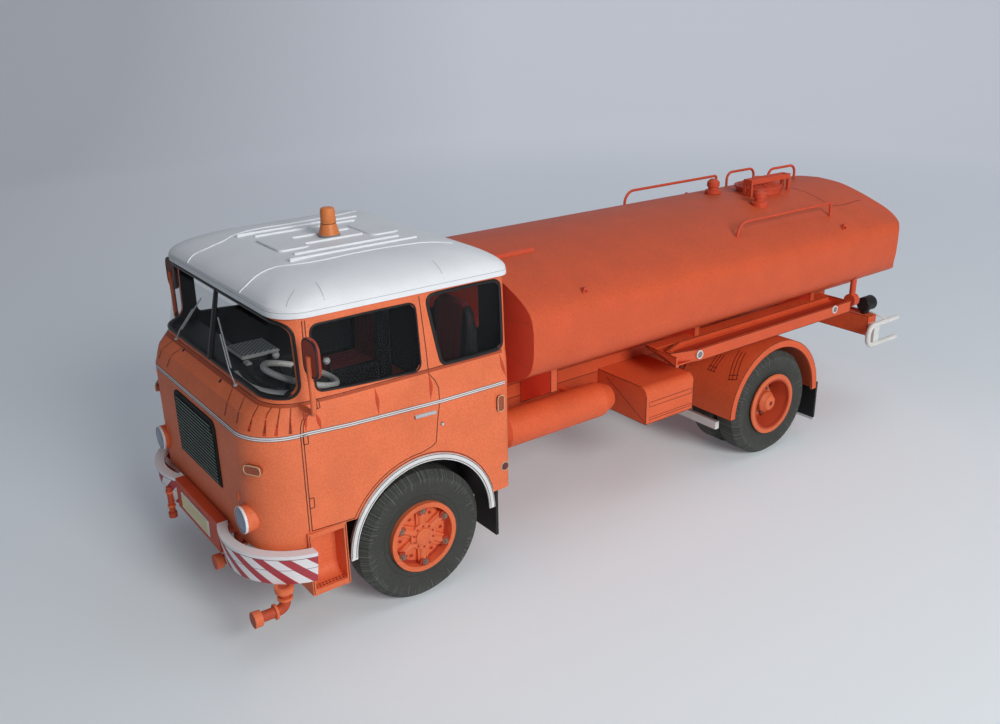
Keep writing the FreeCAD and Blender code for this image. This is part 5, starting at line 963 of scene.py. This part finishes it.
red = put(tree, "Math", {0: phase, 1: stripe}, operation="LESS_THAN").outputs[0]
below = put(tree, "Math", {0: flat[2], 1: white_top}, operation="LESS_THAN").outputs[0]
upward = put(tree, "SeparateXYZ", {0: put(tree, "NewGeometry").outputs["Normal"]}).outputs[2]
sideways = put(tree, "Math", {0: put(tree, "Math", {0: upward}, operation="ABSOLUTE").outputs[0], 1: 0.6},
               operation="LESS_THAN").outputs[0]
mask = put(tree, "Math", {0: red, 1: below}, operation="MULTIPLY").outputs[0]
mask = put(tree, "Math", {0: mask, 1: sideways}, operation="MULTIPLY").outputs[0]
print_over(striped_card, mask, "B5424C")
for low, high in ((24.86, 25.02), (21.9, 22.02)):
    line = put(tree, "Math", {0: between(tree, flat[2], low, high), 1: sideways},
               operation="MULTIPLY").outputs[0]
    print_over(striped_card, line, "6A5560")
dress(striped_card, "bumper_ends")
plate_paper = printed_card("blank_plate_card", "E9DFB0", "E0D59F", fleck=0.4)


def slab(name, low, high, material, bevel=0.15):
    """A small flat piece of card between two corners in millimetres, with its edges eased."""
    block = bmesh.new()
    bmesh.ops.create_cube(block, size=1.0)
    a, b = spot(*low), spot(*high)
    for vertex in block.verts:
        vertex.co = Vector([a[i] + (b[i] - a[i]) * (vertex.co[i] + 0.5) for i in range(3)])
    bmesh.ops.bevel(block, geom=block.edges[:], offset=bevel / 1000, segments=2, affect="EDGES")
    mesh = bpy.data.meshes.new(name)
    block.to_mesh(mesh)
    block.free()
    mesh.materials.append(material)
    made = bpy.data.objects.new(name, mesh)
    scene.collection.objects.link(made)
    return sharpen(made, 50)


border = slab("border", (-10.3, -42.85, 19.5), (8.3, -42.55, 23.8), white_card, 0.08)
field = slab("field", (-9.9, -42.92, 19.9), (7.9, -42.7, 23.4), plate_paper, 0.05)
plate = joined("number_plate", [border, field])
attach(plate, "chassis")


# Steps: orange card boxes under the doors, with rows of round holes in the tread.
# The holes are printed dark, and a line is ruled down the front and rear of each box.
dress(orange_card, "steps")
points, hole_pitch, hole_radius = [], 0.85, 0.26
for side in (1, -1):
    for row in range(5):
        for column in range(9):
            y = -28.6 + column * hole_pitch + (row % 2) * 0.2
            centre = spot(side * (32.2 + row * hole_pitch), y, 14.04)
            points += [centre + Vector((math.cos(a) * hole_radius, math.sin(a) * hole_radius, 0)) / 1000
                       for a in (k * math.pi / 4 for k in range(8))]
faces = [tuple(range(start, start + 8)) for start in range(0, len(points), 8)]
holes = shape("tread_holes", points, faces, shade_and_print_ink, smooth=False)
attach(holes, "chassis")
runs = []
for side in (1, -1):
    for y in (-29.65, -20.75):
        runs.append(trace("steps", (-side, 0, 0), [(side * 40, y, 12.9), (side * 40, y, 28.2)]))
strips("step_lines", runs, 0.2, 0, ink_line)


# Front nozzles: turned orange card pipes, printed darker as painted shade, with flanges wrapped round them at
# each joint.
# The flanges are cut strips, and the mouths are dark discs of painted shade.
# Painted shade: the pipes in a darker orange.
nozzle_shade_card = printed_card("nozzle_orange_card", "C4512F", "B44427")
dress(nozzle_shade_card, "front_nozzles")
collars = []
for x, y, z, way, profile in (
        (36.0, -36.6, 16.4, "up", [(1.3, 0), (2.1, 0.15), (2.2, 1.55), (1.3, 1.6)]),
        (36.0, -36.6, 14.6, "up", [(1.3, 0), (1.75, 0.05), (1.75, 0.6), (1.3, 0.65)]),
        (36.0, -38.9, 12.2, "out", [(1.3, 0), (1.8, 0.05), (1.8, 0.6), (1.3, 0.65)]),
        (36.0, -43.2, 12.2, "out", [(1.3, -0.6), (1.85, -0.5), (1.95, 1.35), (1.5, 1.4), (1.3, 0.7), (0, 0.7)]),
        (12.2, -37.0, 17.4, "up", [(1.3, 0), (1.9, 0.1), (1.9, 0.9), (1.3, 1.0)]),
        (12.2, -42.4, 14.8, "out", [(1.3, -0.6), (1.8, -0.5), (1.9, 1.35), (1.5, 1.4), (1.3, 0.7), (0, 0.7)]),
        (-17.8, -43.5, 20.6, "up", [(0.8, 0), (1.05, 0.05), (1.05, 0.5), (0.8, 0.55)]),
        (-17.8, -43.5, 16.6, "up", [(0.8, 0), (1.05, 0.05), (1.05, 0.5), (0.8, 0.55)])):
    piece = lathe("collar", profile, orange_card, 28)
    turned = Matrix.Rotation(-math.pi / 2, 4, "Y") if way == "up" else Matrix.Rotation(-math.pi / 2, 4, "Z")
    piece.matrix_world = Matrix.Translation(spot(x, y, z)) @ turned
    collars.append(piece)
for x, y, z in ((36.0, -44.0, 12.2), (12.2, -43.15, 14.8)):
    # Painted shade: a dark disc in each mouth.
    mouth = lathe("mouth", [(1.35, 0.0), (0, 0.0)], shade_and_print_ink, 28, smooth=False)
    mouth.matrix_world = Matrix.Translation(spot(x, y, z)) @ Matrix.Rotation(-math.pi / 2, 4, "Z")
    collars.append(mouth)
flanges = joined("nozzle_flanges", collars)
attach(flanges, "chassis")


# Mirrors: card ovals with a black edge, each on an orange wire stalk up its front. The fronts are
# printed dark red as painted shade, with orange arms below, and the whole right mirror is printed dark
# brown as deeper painted shade. The rear faces are silver paper, a hard mirror shine that is slightly clouded.
# The mirrors' dark red ink is painted shade.
mirror_card = printed_card("mirror_back_card", "AE4028", "9C3520")
silver_paper = bpy.data.materials.new("silver_paper")
silver_paper.use_nodes = True
tree = silver_paper.node_tree
where = put(tree, "TexCoord").outputs["Object"]
sheen = put(tree, "TexNoise", {"Vector": where, "Scale": 400.0, "Detail": 2.0})
tone = put(tree, "Mix", {0: sheen.outputs[0], 6: linear("AEB4BA"), 7: linear("D2D7DB")},
           data_type="RGBA").outputs[2]
tree.links.new(tone, tree.nodes["Principled BSDF"].inputs["Base Color"])
tree.nodes["Principled BSDF"].inputs["Metallic"].default_value = 0.9
tree.nodes["Principled BSDF"].inputs["Roughness"].default_value = 0.22
tree = mirror_card.node_tree
height = put(tree, "SeparateXYZ", {0: put(tree, "TexCoord").outputs["Object"]}).outputs[2]
print_over(mirror_card, put(tree, "Math", {0: height, 1: 0.0665}, operation="LESS_THAN").outputs[0], "E0744C")
sideways = put(tree, "SeparateXYZ", {0: put(tree, "TexCoord").outputs["Object"]}).outputs[0]
# Painted shade: the right mirror printed darker.
print_over(mirror_card, put(tree, "Math", {0: sideways, 1: 0.0}, operation="LESS_THAN").outputs[0], "5E281C")
dress(mirror_card, "mirrors")
mirror_x, mirror_z = 41.7, 71.65
for side, tag in ((1, "left"), (-1, "right")):
    corners = [Vector(corner) for corner in ((-3.4, 67.4), (3.4, 67.4), (3.4, 75.9), (-3.4, 75.9))]
    centre = Vector((side * mirror_x, mirror_z))
    outline = [Vector((side * (mirror_x + u), w)) for u, w in rounded(corners, 2.7)]
    rim = [centre + (place - centre) * 0.93 for place in outline]
    crown = [centre + (place - centre) * 0.80 for place in outline]
    loop = [spot(x, -27.75, z) for x, z in rim]
    wire("mirror_rim_" + tag, loop, 0.3, black_card, closed=True)
    points = [spot(x, -27.0, z) for x, z in rim] + [spot(x, -26.9, z) for x, z in crown]
    many = len(rim)
    faces = bands(many, 1) + [tuple(range(many, 2 * many))]
    glass = shape("mirror_glass_" + tag, points, faces, silver_paper)
    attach(glass, "chassis")
    stalk = [(35.6, 59.0), (40.0, 59.1), (41.7, 59.3), (41.7, 61.0), (41.7, 66.0), (41.7, 71.5), (41.7, 72.2)]
    line = [spot(side * x, -28.05, z) for x, z in stalk]
    wire("mirror_stalk_" + tag, line, 0.62, orange_card, bend=3)


# Inside of the cab: maroon card seats with black sides and pleats 2.6 mm apart, and a dark card
# dashboard. It has a pale ledge along the windscreen, a dark hood over the dials and a pale switch block.
maroon_card = printed_card("maroon_seat_card", "8A3034", "74262B", roughness=0.6)
tree = maroon_card.node_tree
where = put(tree, "SeparateXYZ", {0: put(tree, "TexCoord").outputs["Object"]}).outputs
from_middle = put(tree, "Math", {0: where[0]}, operation="ABSOLUTE").outputs[0]
from_seat = put(tree, "Math", {0: from_middle, 1: 0.0215}, operation="SUBTRACT").outputs[0]
from_seat = put(tree, "Math", {0: from_seat}, operation="ABSOLUTE").outputs[0]
bolster = put(tree, "Math", {0: from_seat, 1: 0.0057}, operation="GREATER_THAN").outputs[0]
print_over(maroon_card, bolster, "151416")
pleat = put(tree, "Math", {0: where[0], 1: 2400.0}, operation="MULTIPLY").outputs[0]
pleat = put(tree, "Math", {0: pleat}, operation="SINE").outputs[0]
seam = put(tree, "Math", {0: pleat, 1: 0.93}, operation="GREATER_THAN").outputs[0]
seam = put(tree, "Math", {0: seam, 1: 0.5}, operation="MULTIPLY").outputs[0]
print_over(maroon_card, seam, "4A171B")
corner_cut = 0.6
points, faces = [], []
for side in (1, -1):
    for levels in (((38.9, 8.8, -0.9, 17.6), (43.0, 8.8, -0.9, 17.6), (43.6, 8.2, -0.3, 17.6)),
                   ((38.9, 8.7, 17.6, 22.0), (50.0, 8.7, 18.1, 22.0), (64.0, 8.7, 19.2, 22.0),
                    (67.8, 7.6, 19.7, 22.0), (69.6, 5.6, 20.0, 22.0), (70.2, 4.6, 20.6, 21.6))):
        first = len(points)
        for height, half, front, back in levels:
            inner, ahead, behind = half - corner_cut, front + corner_cut, back - corner_cut
            points += [spot(side * 21.5 + x, y, height) for x, y in
                       ((-half, ahead), (-inner, front), (inner, front), (half, ahead),
                        (half, behind), (inner, back), (-inner, back), (-half, behind))]
        faces += bands(8, len(levels) - 1, first)
        faces.append(tuple(range(len(points) - 8, len(points))))
        faces.append(tuple(range(first + 7, first - 1, -1)))
seat_set = sharpen(shape("seat_set", points, faces, maroon_card), 35)
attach(seat_set, "chassis")
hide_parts("seats")
dash_card = printed_card("dashboard_card", "34393A", "2B2F30")
dress(dash_card, "dashboard")
pale_trim = printed_card("pale_trim_card", "D5DBDA", "C6CDCC")
ledge = [(9, -32.6), (14, -32.9), (19, -32.6), (23, -31.6), (26, -30.1), (28.3, -28.0)]
runs = [trace("dashboard", (0, 0, -1), [(x, y, 70) for x, y in ledge])]
strips("dashboard_ledge", runs, lambda share: 3.0 - 1.6 * math.sin(share * math.pi), 0.2, pale_trim)
hood = lathe("instrument_hood", [(8.6, -0.1), (8.5, 0.3), (7.6, 0.62), (7.2, 0.5), (3.0, 0.75), (0, 0.8)],
             dash_card, 40)
hood.matrix_world = (Matrix.Translation(spot(17.8, -27.4, 59.8)) @ Matrix.Scale(0.36, 4, (0, 1, 0))
                     @ Matrix.Rotation(-math.pi / 2, 4, "Y"))
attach(hood, "chassis")
switch = slab("switch_block", (5.2, -28.4, 59.7), (7.6, -27.0, 60.5), pale_trim, 0.2)
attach(switch, "chassis")


# Engine cover: a dark card box between the seats, with a lid of ribbed grey card just behind the
# windscreen. The ribs run aslant, 1.3 mm apart, drawn on the flat lid as dark bands of painted shade in their
# hollows, and the lid's cut edges are left pale.
lid_card = printed_card("ribbed_lid_card", "AEB6B6", "9FA8A8", roughness=0.4)
tree = lid_card.node_tree
where = put(tree, "SeparateXYZ", {0: put(tree, "TexCoord").outputs["Object"]}).outputs
aslant = put(tree, "Math", {0: where[0], 1: where[1]}, operation="ADD").outputs[0]
course = put(tree, "Math", {0: aslant, 1: 4800.0}, operation="MULTIPLY").outputs[0]
rib = put(tree, "Math", {0: course}, operation="SINE").outputs[0]
# Painted shade: dark bands in the hollows between the ribs.
rib_hollow_shade = put(tree, "MapRange", {"Value": rib, "From Min": -0.2, "From Max": 0.7, "To Max": 0.85}).outputs[0]
print_over(lid_card, rib_hollow_shade, "3F4749")
points = []
cover_half, cover_foot = 8.5, 38.9
cover_tops = ((-24.9, 54.9), (-12.0, 54.9), (-9.0, 54.0), (0.0, 44.0), (4.0, 41.0), (11.9, 40.0))
for y, top in cover_tops:
    cut = min(2.0, (top - cover_foot) * 0.4)
    section = ((-cover_half, cover_foot), (-cover_half, top - cut), (cut - cover_half, top),
               (cover_half - cut, top), (cover_half, top - cut), (cover_half, cover_foot))
    points += [spot(x, y, z) for x, z in section]
faces = [(a, d, c, b) for a, b, c, d in bands(6, len(cover_tops) - 1)]
faces += [tuple(range(6)), tuple(range(len(points) - 1, len(points) - 7, -1))]
hump = sharpen(shape("engine_hump", points, faces, dash_card), 35)
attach(hump, "chassis")
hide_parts("engine_cover")
plinth = slab("plinth", (-4.9, -28.0, 54.9), (4.9, -19.2, 60.7), dash_card, 0.3)
lid = slab("lid", (-4.7, -28.1, 60.9), (4.7, -19.3, 61.5), lid_card, 0.15)
edging = slab("edging", (-5.2, -28.6, 60.5), (5.2, -18.8, 61.3), pale_trim, 0.3)
lid = joined("engine_cover_lid", [plinth, edging, lid])
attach(lid, "chassis")


# Steering wheel: a thick rim of pale grey wire on three black arms, with a black column to the floor.
# It stands nearly flat, close behind the windscreen.
wheel_seat = Matrix.Translation(spot(21.0, -21.2, 60.2)) @ Matrix.Rotation(math.radians(-20), 4, "X")
wheel_grey = printed_card("steering_wheel_grey", "DEDFDD", "CFD1CF", roughness=0.35)
reach = 0.0084
angles = [k * math.pi / 24 for k in range(48)]
ring = [wheel_seat @ Vector((reach * math.cos(a), reach * math.sin(a), 0)) for a in angles]
parts = [wire("ring", ring, 0.72, wheel_grey, body=None, closed=True)]
for a in (math.radians(k) for k in (15, 165, 270)):
    arm = [wheel_seat @ Vector((r * math.cos(a), r * math.sin(a), h))
           for r, h in ((0.0, -0.0018), (0.004, -0.0014), (reach, 0))]
    parts.append(wire("arm", arm, 0.4, black_card, body=None))
hub = lathe("hub", [(1.5, -1.9), (1.4, -0.6), (0.8, -0.3), (0, -0.25)], black_card, 24)
hub.matrix_world = wheel_seat @ Matrix.Rotation(-math.pi / 2, 4, "Y")
column = lathe("column", [(0.8, -23.0), (0.8, -1.5)], black_card, 16)
column.matrix_world = wheel_seat @ Matrix.Rotation(-math.pi / 2, 4, "Y")
wheel = joined("steering_wheel_ring", parts + [hub, column])
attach(wheel, "chassis")
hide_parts("steering_wheel")
knobs = []
for x, y, top in ((8.2, -21.3, 61.1), (10.6, -9.5, 57.5)):
    foot = spot(10.4, y + 4.0, 39.5)
    knobs.append(wire("lever", [foot, spot(x, y, top)], 0.28, black_card, body=None))
    ball = lathe("ball", [(0, -0.9), (0.6, -0.7), (0.95, 0), (0.7, 0.65), (0, 0.9)], pale_trim, 18)
    ball.matrix_world = Matrix.Translation(spot(x, y, top)) @ Matrix.Rotation(-math.pi / 2, 4, "Y")
    knobs.append(ball)
levers = joined("gear_levers", knobs)
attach(levers, "chassis")


# Wheel arches: white card hoops over a black lining behind each front wheel. Two grey lines edge
# the white, and a dark one is printed on the cab just outside it.
arch_white = printed_card("arch_white_card", "E6E8EA", "DADDE0", fleck=0.4)
dress(arch_white, "arch_trims")
for side, tag in ((1, "left"), (-1, "right")):
    section = ((36.3, 20.3), (36.3, 20.0), (22.4, 20.0), (22.4, 3.0), (22.0, 3.0), (22.0, 20.3))
    points = []
    for step in range(31):
        a = math.radians(step * 6)
        points += [spot(side * x, arch_y + r * math.cos(a), arch_z + r * math.sin(a)) for x, r in section]
    faces = bands(6, 30)
    faces += [tuple(range(6)), tuple(range(len(points) - 1, len(points) - 7, -1))]
    lining = sharpen(shape("arch_lining_" + tag, points, faces, black_card), 35)
    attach(lining, "chassis")


def arch_run(side, x, reach):
    """A line round a front wheel arch, with the side that it faces."""
    angles = [math.radians(degree) for degree in range(-1, 182, 3)]
    places = [spot(side * x, arch_y + reach * math.cos(a), arch_z + max(0, reach * math.sin(a)))
              for a in angles]
    return [(place, Vector((side, 0, 0))) for place in places]


runs = [arch_run(side, 37.2, reach) for side in (1, -1) for reach in (19.25, 20.35)]
strips("arch_lines", runs, 0.2, 0, stripe_grey)
runs = [[sample for sample in arch_run(side, 36.8, 20.85) if sample[0].z > spot(0, 0, 22.6).z]
        for side in (1, -1)]
strips("arch_outer_line", runs, 0.22, 0, ink_line)


# Rear rims: deep orange card dishes, each with a turned hub, a ring of studs, eight holes and a
# line at the lip. The dish is printed darker in its depth, and its holes are dark discs, both painted shade.
rear_rim_card = printed_card("rear_rim_card", "E8754B", "DC683F")
tree = rear_rim_card.node_tree
axle = (0, wheel_places["rear_wheels_left"].y, 0.017)
where = put(tree, "TexCoord").outputs["Object"]
centred = put(tree, "VectorMath", {0: where, 1: axle}, operation="SUBTRACT").outputs[0]
disc = put(tree, "VectorMath", {0: centred, 1: (0, 1, 1)}, operation="MULTIPLY").outputs[0]
reach = put(tree, "VectorMath", {0: disc}, operation="LENGTH").outputs["Value"]
# Painted shade: darker in the depth of the dish.
print_over(rear_rim_card, between(tree, reach, 0.0046, 0.0085), "C04A2C")
dress(rear_rim_card, "rim_rear_left", "rim_rear_right")
centre = wheel_places["rear_wheels_left"]
outer = (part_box("rim_rear_left")[1].x - centre.x) * 1000
floor, hub_top = ((cast("rim_rear_left", centre + Vector((0.03, out, 0)), (-1, 0, 0))[0].x - centre.x) * 1000
                  for out in (0.0052, 0.0019))
lip = [(9.9, outer - 0.35), (9.7, outer + 0.02), (8.9, outer + 0.02), (8.7, outer - 0.5)]
flange = [(5.1, floor - 0.3), (5.1, floor + 0.5), (4.8, floor + 0.7), (2.3, floor + 0.7)]
cap = [(2.4, hub_top - 0.6), (2.35, hub_top + 0.2), (1.9, hub_top + 0.5), (0.75, hub_top + 0.55)]
for body, way in (("rear_wheels_left", 1), ("rear_wheels_right", -1)):
    parts = [lathe("lip", lip, rim_card),
             lathe("lip_line", [(8.72, outer - 0.3), (8.5, outer - 0.42)], shade_and_print_ink),
             lathe("bead", [(7.9, floor + 0.1), (7.6, floor + 0.5), (7.2, floor + 0.1)], rim_card),
             lathe("flange", flange, rim_card),
             lathe("cap", cap, rim_card, 32),
             lathe("centre_hole", [(0.78, hub_top + 0.5), (0, hub_top + 0.4)], shade_and_print_ink, 16, smooth=False)]
    for number in range(10):
        stud = lathe("stud", [(0.5, 0.0), (0.48, 0.7), (0.3, 0.85), (0, 0.88)], bolt_card, 10)
        stud.matrix_world = (Matrix.Rotation(number * math.pi / 5, 4, "X")
                             @ Matrix.Translation((0.001 * (floor + 0.6), 0, 0.0042)))
        parts.append(stud)
    for number in range(8):
        slot_hole = lathe("vent_hole", [(0.62, 0.0), (0, 0.02)], shade_and_print_ink, 14, smooth=False)
        slot_hole.matrix_world = (Matrix.Rotation((number + 0.5) * math.pi / 4, 4, "X")
                                  @ Matrix.Translation((0.001 * (floor + 0.06), 0, 0.0063)))
        parts.append(slot_hole)
    rim_face_rear = joined("rear_rim_lip_" + body[12:], parts)
    rim_face_rear.matrix_world = Matrix.Translation(wheel_places[body]) @ Matrix.Scale(way, 4, (1, 0, 0))
    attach(rim_face_rear, body)


# Storage drums, tool boxes, hose troughs and mudguards: boxes and rolls of orange card along each side.
# Every fold and glued edge is ruled with a thin dark line, and the troughs' floors are printed dark red as
# painted shade.
side_card = printed_card("side_orange_card", "E8693F", "DC5C33")
dress(side_card, "storage_tube_left", "storage_tube_right", "tool_box_left", "tool_box_right",
      "rear_mudguard_left", "rear_mudguard_right", "rear_beam", "tow_jaw")
trough_card = printed_card("trough_orange_card", "E06039", "D4542E")
tree = trough_card.node_tree
upward = put(tree, "SeparateXYZ", {0: put(tree, "NewGeometry").outputs["Normal"]}).outputs[2]
height = put(tree, "SeparateXYZ", {0: put(tree, "TexCoord").outputs["Object"]}).outputs[2]
flat_face = put(tree, "Math", {0: upward, 1: 0.6}, operation="GREATER_THAN").outputs[0]
low_face = put(tree, "Math", {0: height, 1: 0.0425}, operation="LESS_THAN").outputs[0]
trough_floor_shade = put(tree, "Math", {0: flat_face, 1: low_face}, operation="MULTIPLY").outputs[0]
# Painted shade: dark red on the troughs' floors.
print_over(trough_card, trough_floor_shade, "B23A22")
dress(trough_card, "hose_trough_left", "hose_trough_right")


def ruled_edges(name, nodes, width, material, bend=60):
    """Thin lines ruled along both sides of the folds of CAD nodes, where they bend enough."""
    points, faces = [], []
    for node in nodes:
        shell = bmesh.new()
        shell.from_mesh(frame["nodes"][node].data)
        bmesh.ops.remove_doubles(shell, verts=shell.verts, dist=1e-6)
        for edge in shell.edges:
            short = edge.calc_length() < 0.0004
            if short or len(edge.link_faces) != 2 or edge.calc_face_angle(0) < math.radians(bend):
                continue
            for face in edge.link_faces:
                a, b = (vertex.co.copy() for vertex in edge.verts)
                inner = face.normal.cross(b - a).normalized()
                if inner.dot(face.calc_center_median() - a) < 0:
                    inner = -inner
                lift = face.normal * 0.00003
                start = len(points)
                inward = inner * width / 1000
                points += [a + lift, b + lift, b + inward + lift, a + inward + lift]
                faces.append((start, start + 1, start + 2, start + 3))
        shell.free()
    made = shape(name, points, faces, material, smooth=False)
    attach(made, "chassis")


apron_front, apron_rear = 84.6, 166.0
for side, tag in ((1, "left"), (-1, "right")):
    points = [spot(side * x, y, z) for y in (apron_front, apron_front + 0.6)
              for x, z in ((25.3, 44.0), (37.55, 43.6), (37.55, 40.5), (25.3, 43.6))]
    end = [(0, 1, 2, 3), (7, 6, 5, 4), (0, 4, 5, 1), (1, 5, 6, 2), (2, 6, 7, 3), (3, 7, 4, 0)]
    cap = shape("cap", points, end, trough_card, smooth=False)
    left, right = sorted((side * 25.3, side * 29.4))
    ledge = slab("ledge", (left, apron_front, 43.7), (right, apron_rear, 44.05), trough_card, 0.05)
    points = [spot(side * x, y, z) for y in (apron_front, apron_rear)
              for x, z in ((25.3, 43.9), (37.0, 41.0), (37.0, 40.6), (25.3, 43.5))]
    sheet = shape("sheet", points, [(0, 1, 5, 4), (1, 2, 6, 5), (2, 3, 7, 6), (3, 0, 4, 7), (3, 2, 1, 0),
                                    (4, 5, 6, 7)], trough_card, smooth=False)
    apron = joined("trough_apron_" + tag, [cap, ledge, sheet])
    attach(apron, "chassis")
runs = []
for side in (1, -1):
    for line in ([(25.3, 43.85), (37.4, 43.5), (37.4, 40.65), (25.4, 43.7)], [(28.5, 43.6), (37.4, 40.8)]):
        runs.append([(spot(side * x, apron_front, z), Vector((0, -1, 0))) for x, z in line])
strips("apron_lines", runs, 0.14, 0, ink_line)
ruled_edges("tool_box_lines", ["tool_box_left", "tool_box_right"], 0.12, ink_line)
ruled_edges("trough_lines", ["hose_trough_left", "hose_trough_right"], 0.12, ink_line)
ruled_edges("mudguard_lines", ["rear_mudguard_left", "rear_mudguard_right"], 0.1, ink_line)
ruled_edges("bearer_lines", ["tank_bearer_left", "tank_bearer_right", "rear_beam", "frame_rail_left",
                             "frame_rail_right"], 0.1, ink_line)
runs = []
for side, tag in ((1, "left"), (-1, "right")):
    for low, high in ((30.2, 31.6), (26.2, 26.9)):
        panel = [(side * 60, y, z) for y, z in ((76.3, low), (93.5, low), (93.5, high), (76.3, high),
                                                (76.3, low))]
        runs.append(trace("tool_box_" + tag, (-side, 0, 0), panel))
    runs.append(trace("tool_box_" + tag, (0, 1, 0), [(side * 19.4, 60, 34.6), (side * 35.8, 60, 25.6)]))
strips("tool_box_print", [run for run in runs if len(run) > 1], 0.16, 0, ink_line)
brackets = (((33.4, 28.3), (30.5, 35.4)), ((34.6, 28.6), (31.7, 35.4)), ((35.8, 29.2), (33.0, 35.4)),
            ((25.7, 29.0), (26.0, 33.4)), ((26.8, 29.0), (27.1, 33.4)), ((24.6, 29.0), (24.9, 33.4)),
            ((33.0, 28.3), (36.2, 29.2)), ((32.6, 29.4), (35.8, 30.3)), ((24.2, 29.0), (27.4, 29.0)),
            ((24.2, 30.1), (27.4, 30.1)))
runs = []
for side, tag in ((1, "left"), (-1, "right")):
    for (x0, z0), (x1, z1) in brackets:
        run = trace("rear_mudguard_" + tag, (0, 1, 0), [(side * x0, 90, z0), (side * x1, 90, z1)], 0.5)
        if len(run) > 1:
            runs.append(run)
strips("mudguard_brackets", runs, 0.3, 0, shade_and_print_ink)
silver_rim = printed_card("reflector_rim_card", "E4E6E8", "D6D9DC", fleck=0.4)
grey_lens = printed_card("reflector_grey_card", "8C8583", "7C7573", roughness=0.3)
for side, tag in ((1, "left"), (-1, "right")):
    parts = []
    for y, z in ((94.1, 42.4), (157.4, 42.9)):
        hit = cast("hose_trough_" + tag, spot(side * 60, y, z), (-side, 0, 0))[0]
        ring = lathe("ring", [(1.3, 0.0), (1.27, 0.28), (1.0, 0.32), (0.95, 0.24)], silver_rim, 28)
        disc = lathe("disc", [(0.98, 0.22), (0.5, 0.3), (0, 0.32)], grey_lens, 28)
        for piece in (ring, disc):
            piece.matrix_world = Matrix.Translation(hit) @ Matrix.Scale(side, 4, (1, 0, 0))
            parts.append(piece)
    reflectors = joined("trough_reflectors_" + tag, parts)
    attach(reflectors, "chassis")


# Mud flaps: matt black card hung behind the wheels, glued along its upper edge.
# The rear pair has a white lower edge.
flap_card = printed_card("mud_flap_card", "1B1A1B", "262526", roughness=0.5, cloud=0.2)
tree = flap_card.node_tree
where = put(tree, "SeparateXYZ", {0: put(tree, "TexCoord").outputs["Object"]}).outputs
rear_pair = put(tree, "Math", {0: where[1], 1: spot(0, 140, 0).y}, operation="GREATER_THAN").outputs[0]
lower_edge = put(tree, "Math", {0: where[2], 1: 0.0063}, operation="LESS_THAN").outputs[0]
hem = put(tree, "Math", {0: rear_pair, 1: lower_edge}, operation="MULTIPLY").outputs[0]
print_over(flap_card, hem, "D8DADB")
dress(flap_card, "mud_flaps")


# Tank top: a round hatch with pressed ribs between two handle frames, two ribbed vents, rails and lugs.
# All are small pieces of orange card and painted wire, a shade redder than the tank.
fitting_card = printed_card("fitting_orange_card", "D9583A", "CB4C2E")
dress(fitting_card, "tank_hatch", "hatch_guard", "tank_fittings", "tank_hand_rails", "lifting_lugs")
hatch_low, hatch_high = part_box("tank_hatch")
centre = (hatch_low + hatch_high) / 2
runs = []
for number in range(12):
    a = number * math.pi / 6
    out = Vector((math.cos(a), math.sin(a), 0))
    near, far = centre + out * 0.0022, centre + out * 0.0068
    run = []
    for t in range(9):
        hit, facing = cast("tank_hatch", near.lerp(far, t / 8) + Vector((0, 0, 0.03)), (0, 0, -1))
        if hit and hit.z > centre.z:
            run.append((hit, facing if facing.z > 0 else -facing))
    if len(run) > 2:
        runs.append(run)
strips("hatch_ribs", runs, 0.5, 0.22, fitting_card)
boss = lathe("hatch_boss", [(2.0, -0.2), (1.95, 0.35), (1.5, 0.5), (1.4, 0.3), (0.6, 0.3), (0.5, 0.55),
                            (0, 0.6)], fitting_card, 32)
hit = cast("tank_hatch", centre + Vector((0, 0, 0.03)), (0, 0, -1))[0]
boss.matrix_world = Matrix.Translation(hit) @ Matrix.Rotation(-math.pi / 2, 4, "Y")
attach(boss, "chassis")


# Tail: black round lamps with dark red lenses, hoops and rods of white-painted wire, and white
# spray bars. The paint is satin, with a faint grey fleck.
tail_white = printed_card("white_wire", "E4E5E3", "D5D6D4", roughness=0.45, fleck=0.5)
dress(tail_white, "tail_guards", "spray_bars")
for side, tag in ((1, "left"), (-1, "right")):
    rod = [spot(side * 20, 187.3, 34.3), spot(side * 30, 187.3, 34.3), spot(side * 34.5, 187.6, 34.2),
           spot(side * 36.9, 189.0, 32.6)]
    wire("tail_rod_" + tag, rod, 0.3, tail_white, bend=3)
dress(black_card, "tail_lamps")
red_lens = printed_card("tail_lens_card", "8E1F1E", "7A1818", roughness=0.28)
for side, tag in ((1, "left"), (-1, "right")):
    rim = lathe("rim", [(2.5, -0.3), (2.55, 0.1), (2.2, 0.25), (2.05, 0.05)], black_card, 32)
    glass = lathe("glass", [(2.1, 0.05), (1.4, 0.3), (0, 0.45)], red_lens, 32)
    back = lathe("back", [(2.5, -4.35), (2.3, -4.6), (0.8, -4.75), (0, -4.75)], black_card, 32)
    lamp_place = Matrix.Translation(spot(side * 30.6, 188.7, 37.4)) @ Matrix.Rotation(math.pi / 2, 4, "Z")
    for piece in (rim, glass, back):
        piece.matrix_world = lamp_place
    lamp = joined("tail_lamp_lens_" + tag, [rim, glass, back])
    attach(lamp, "chassis")
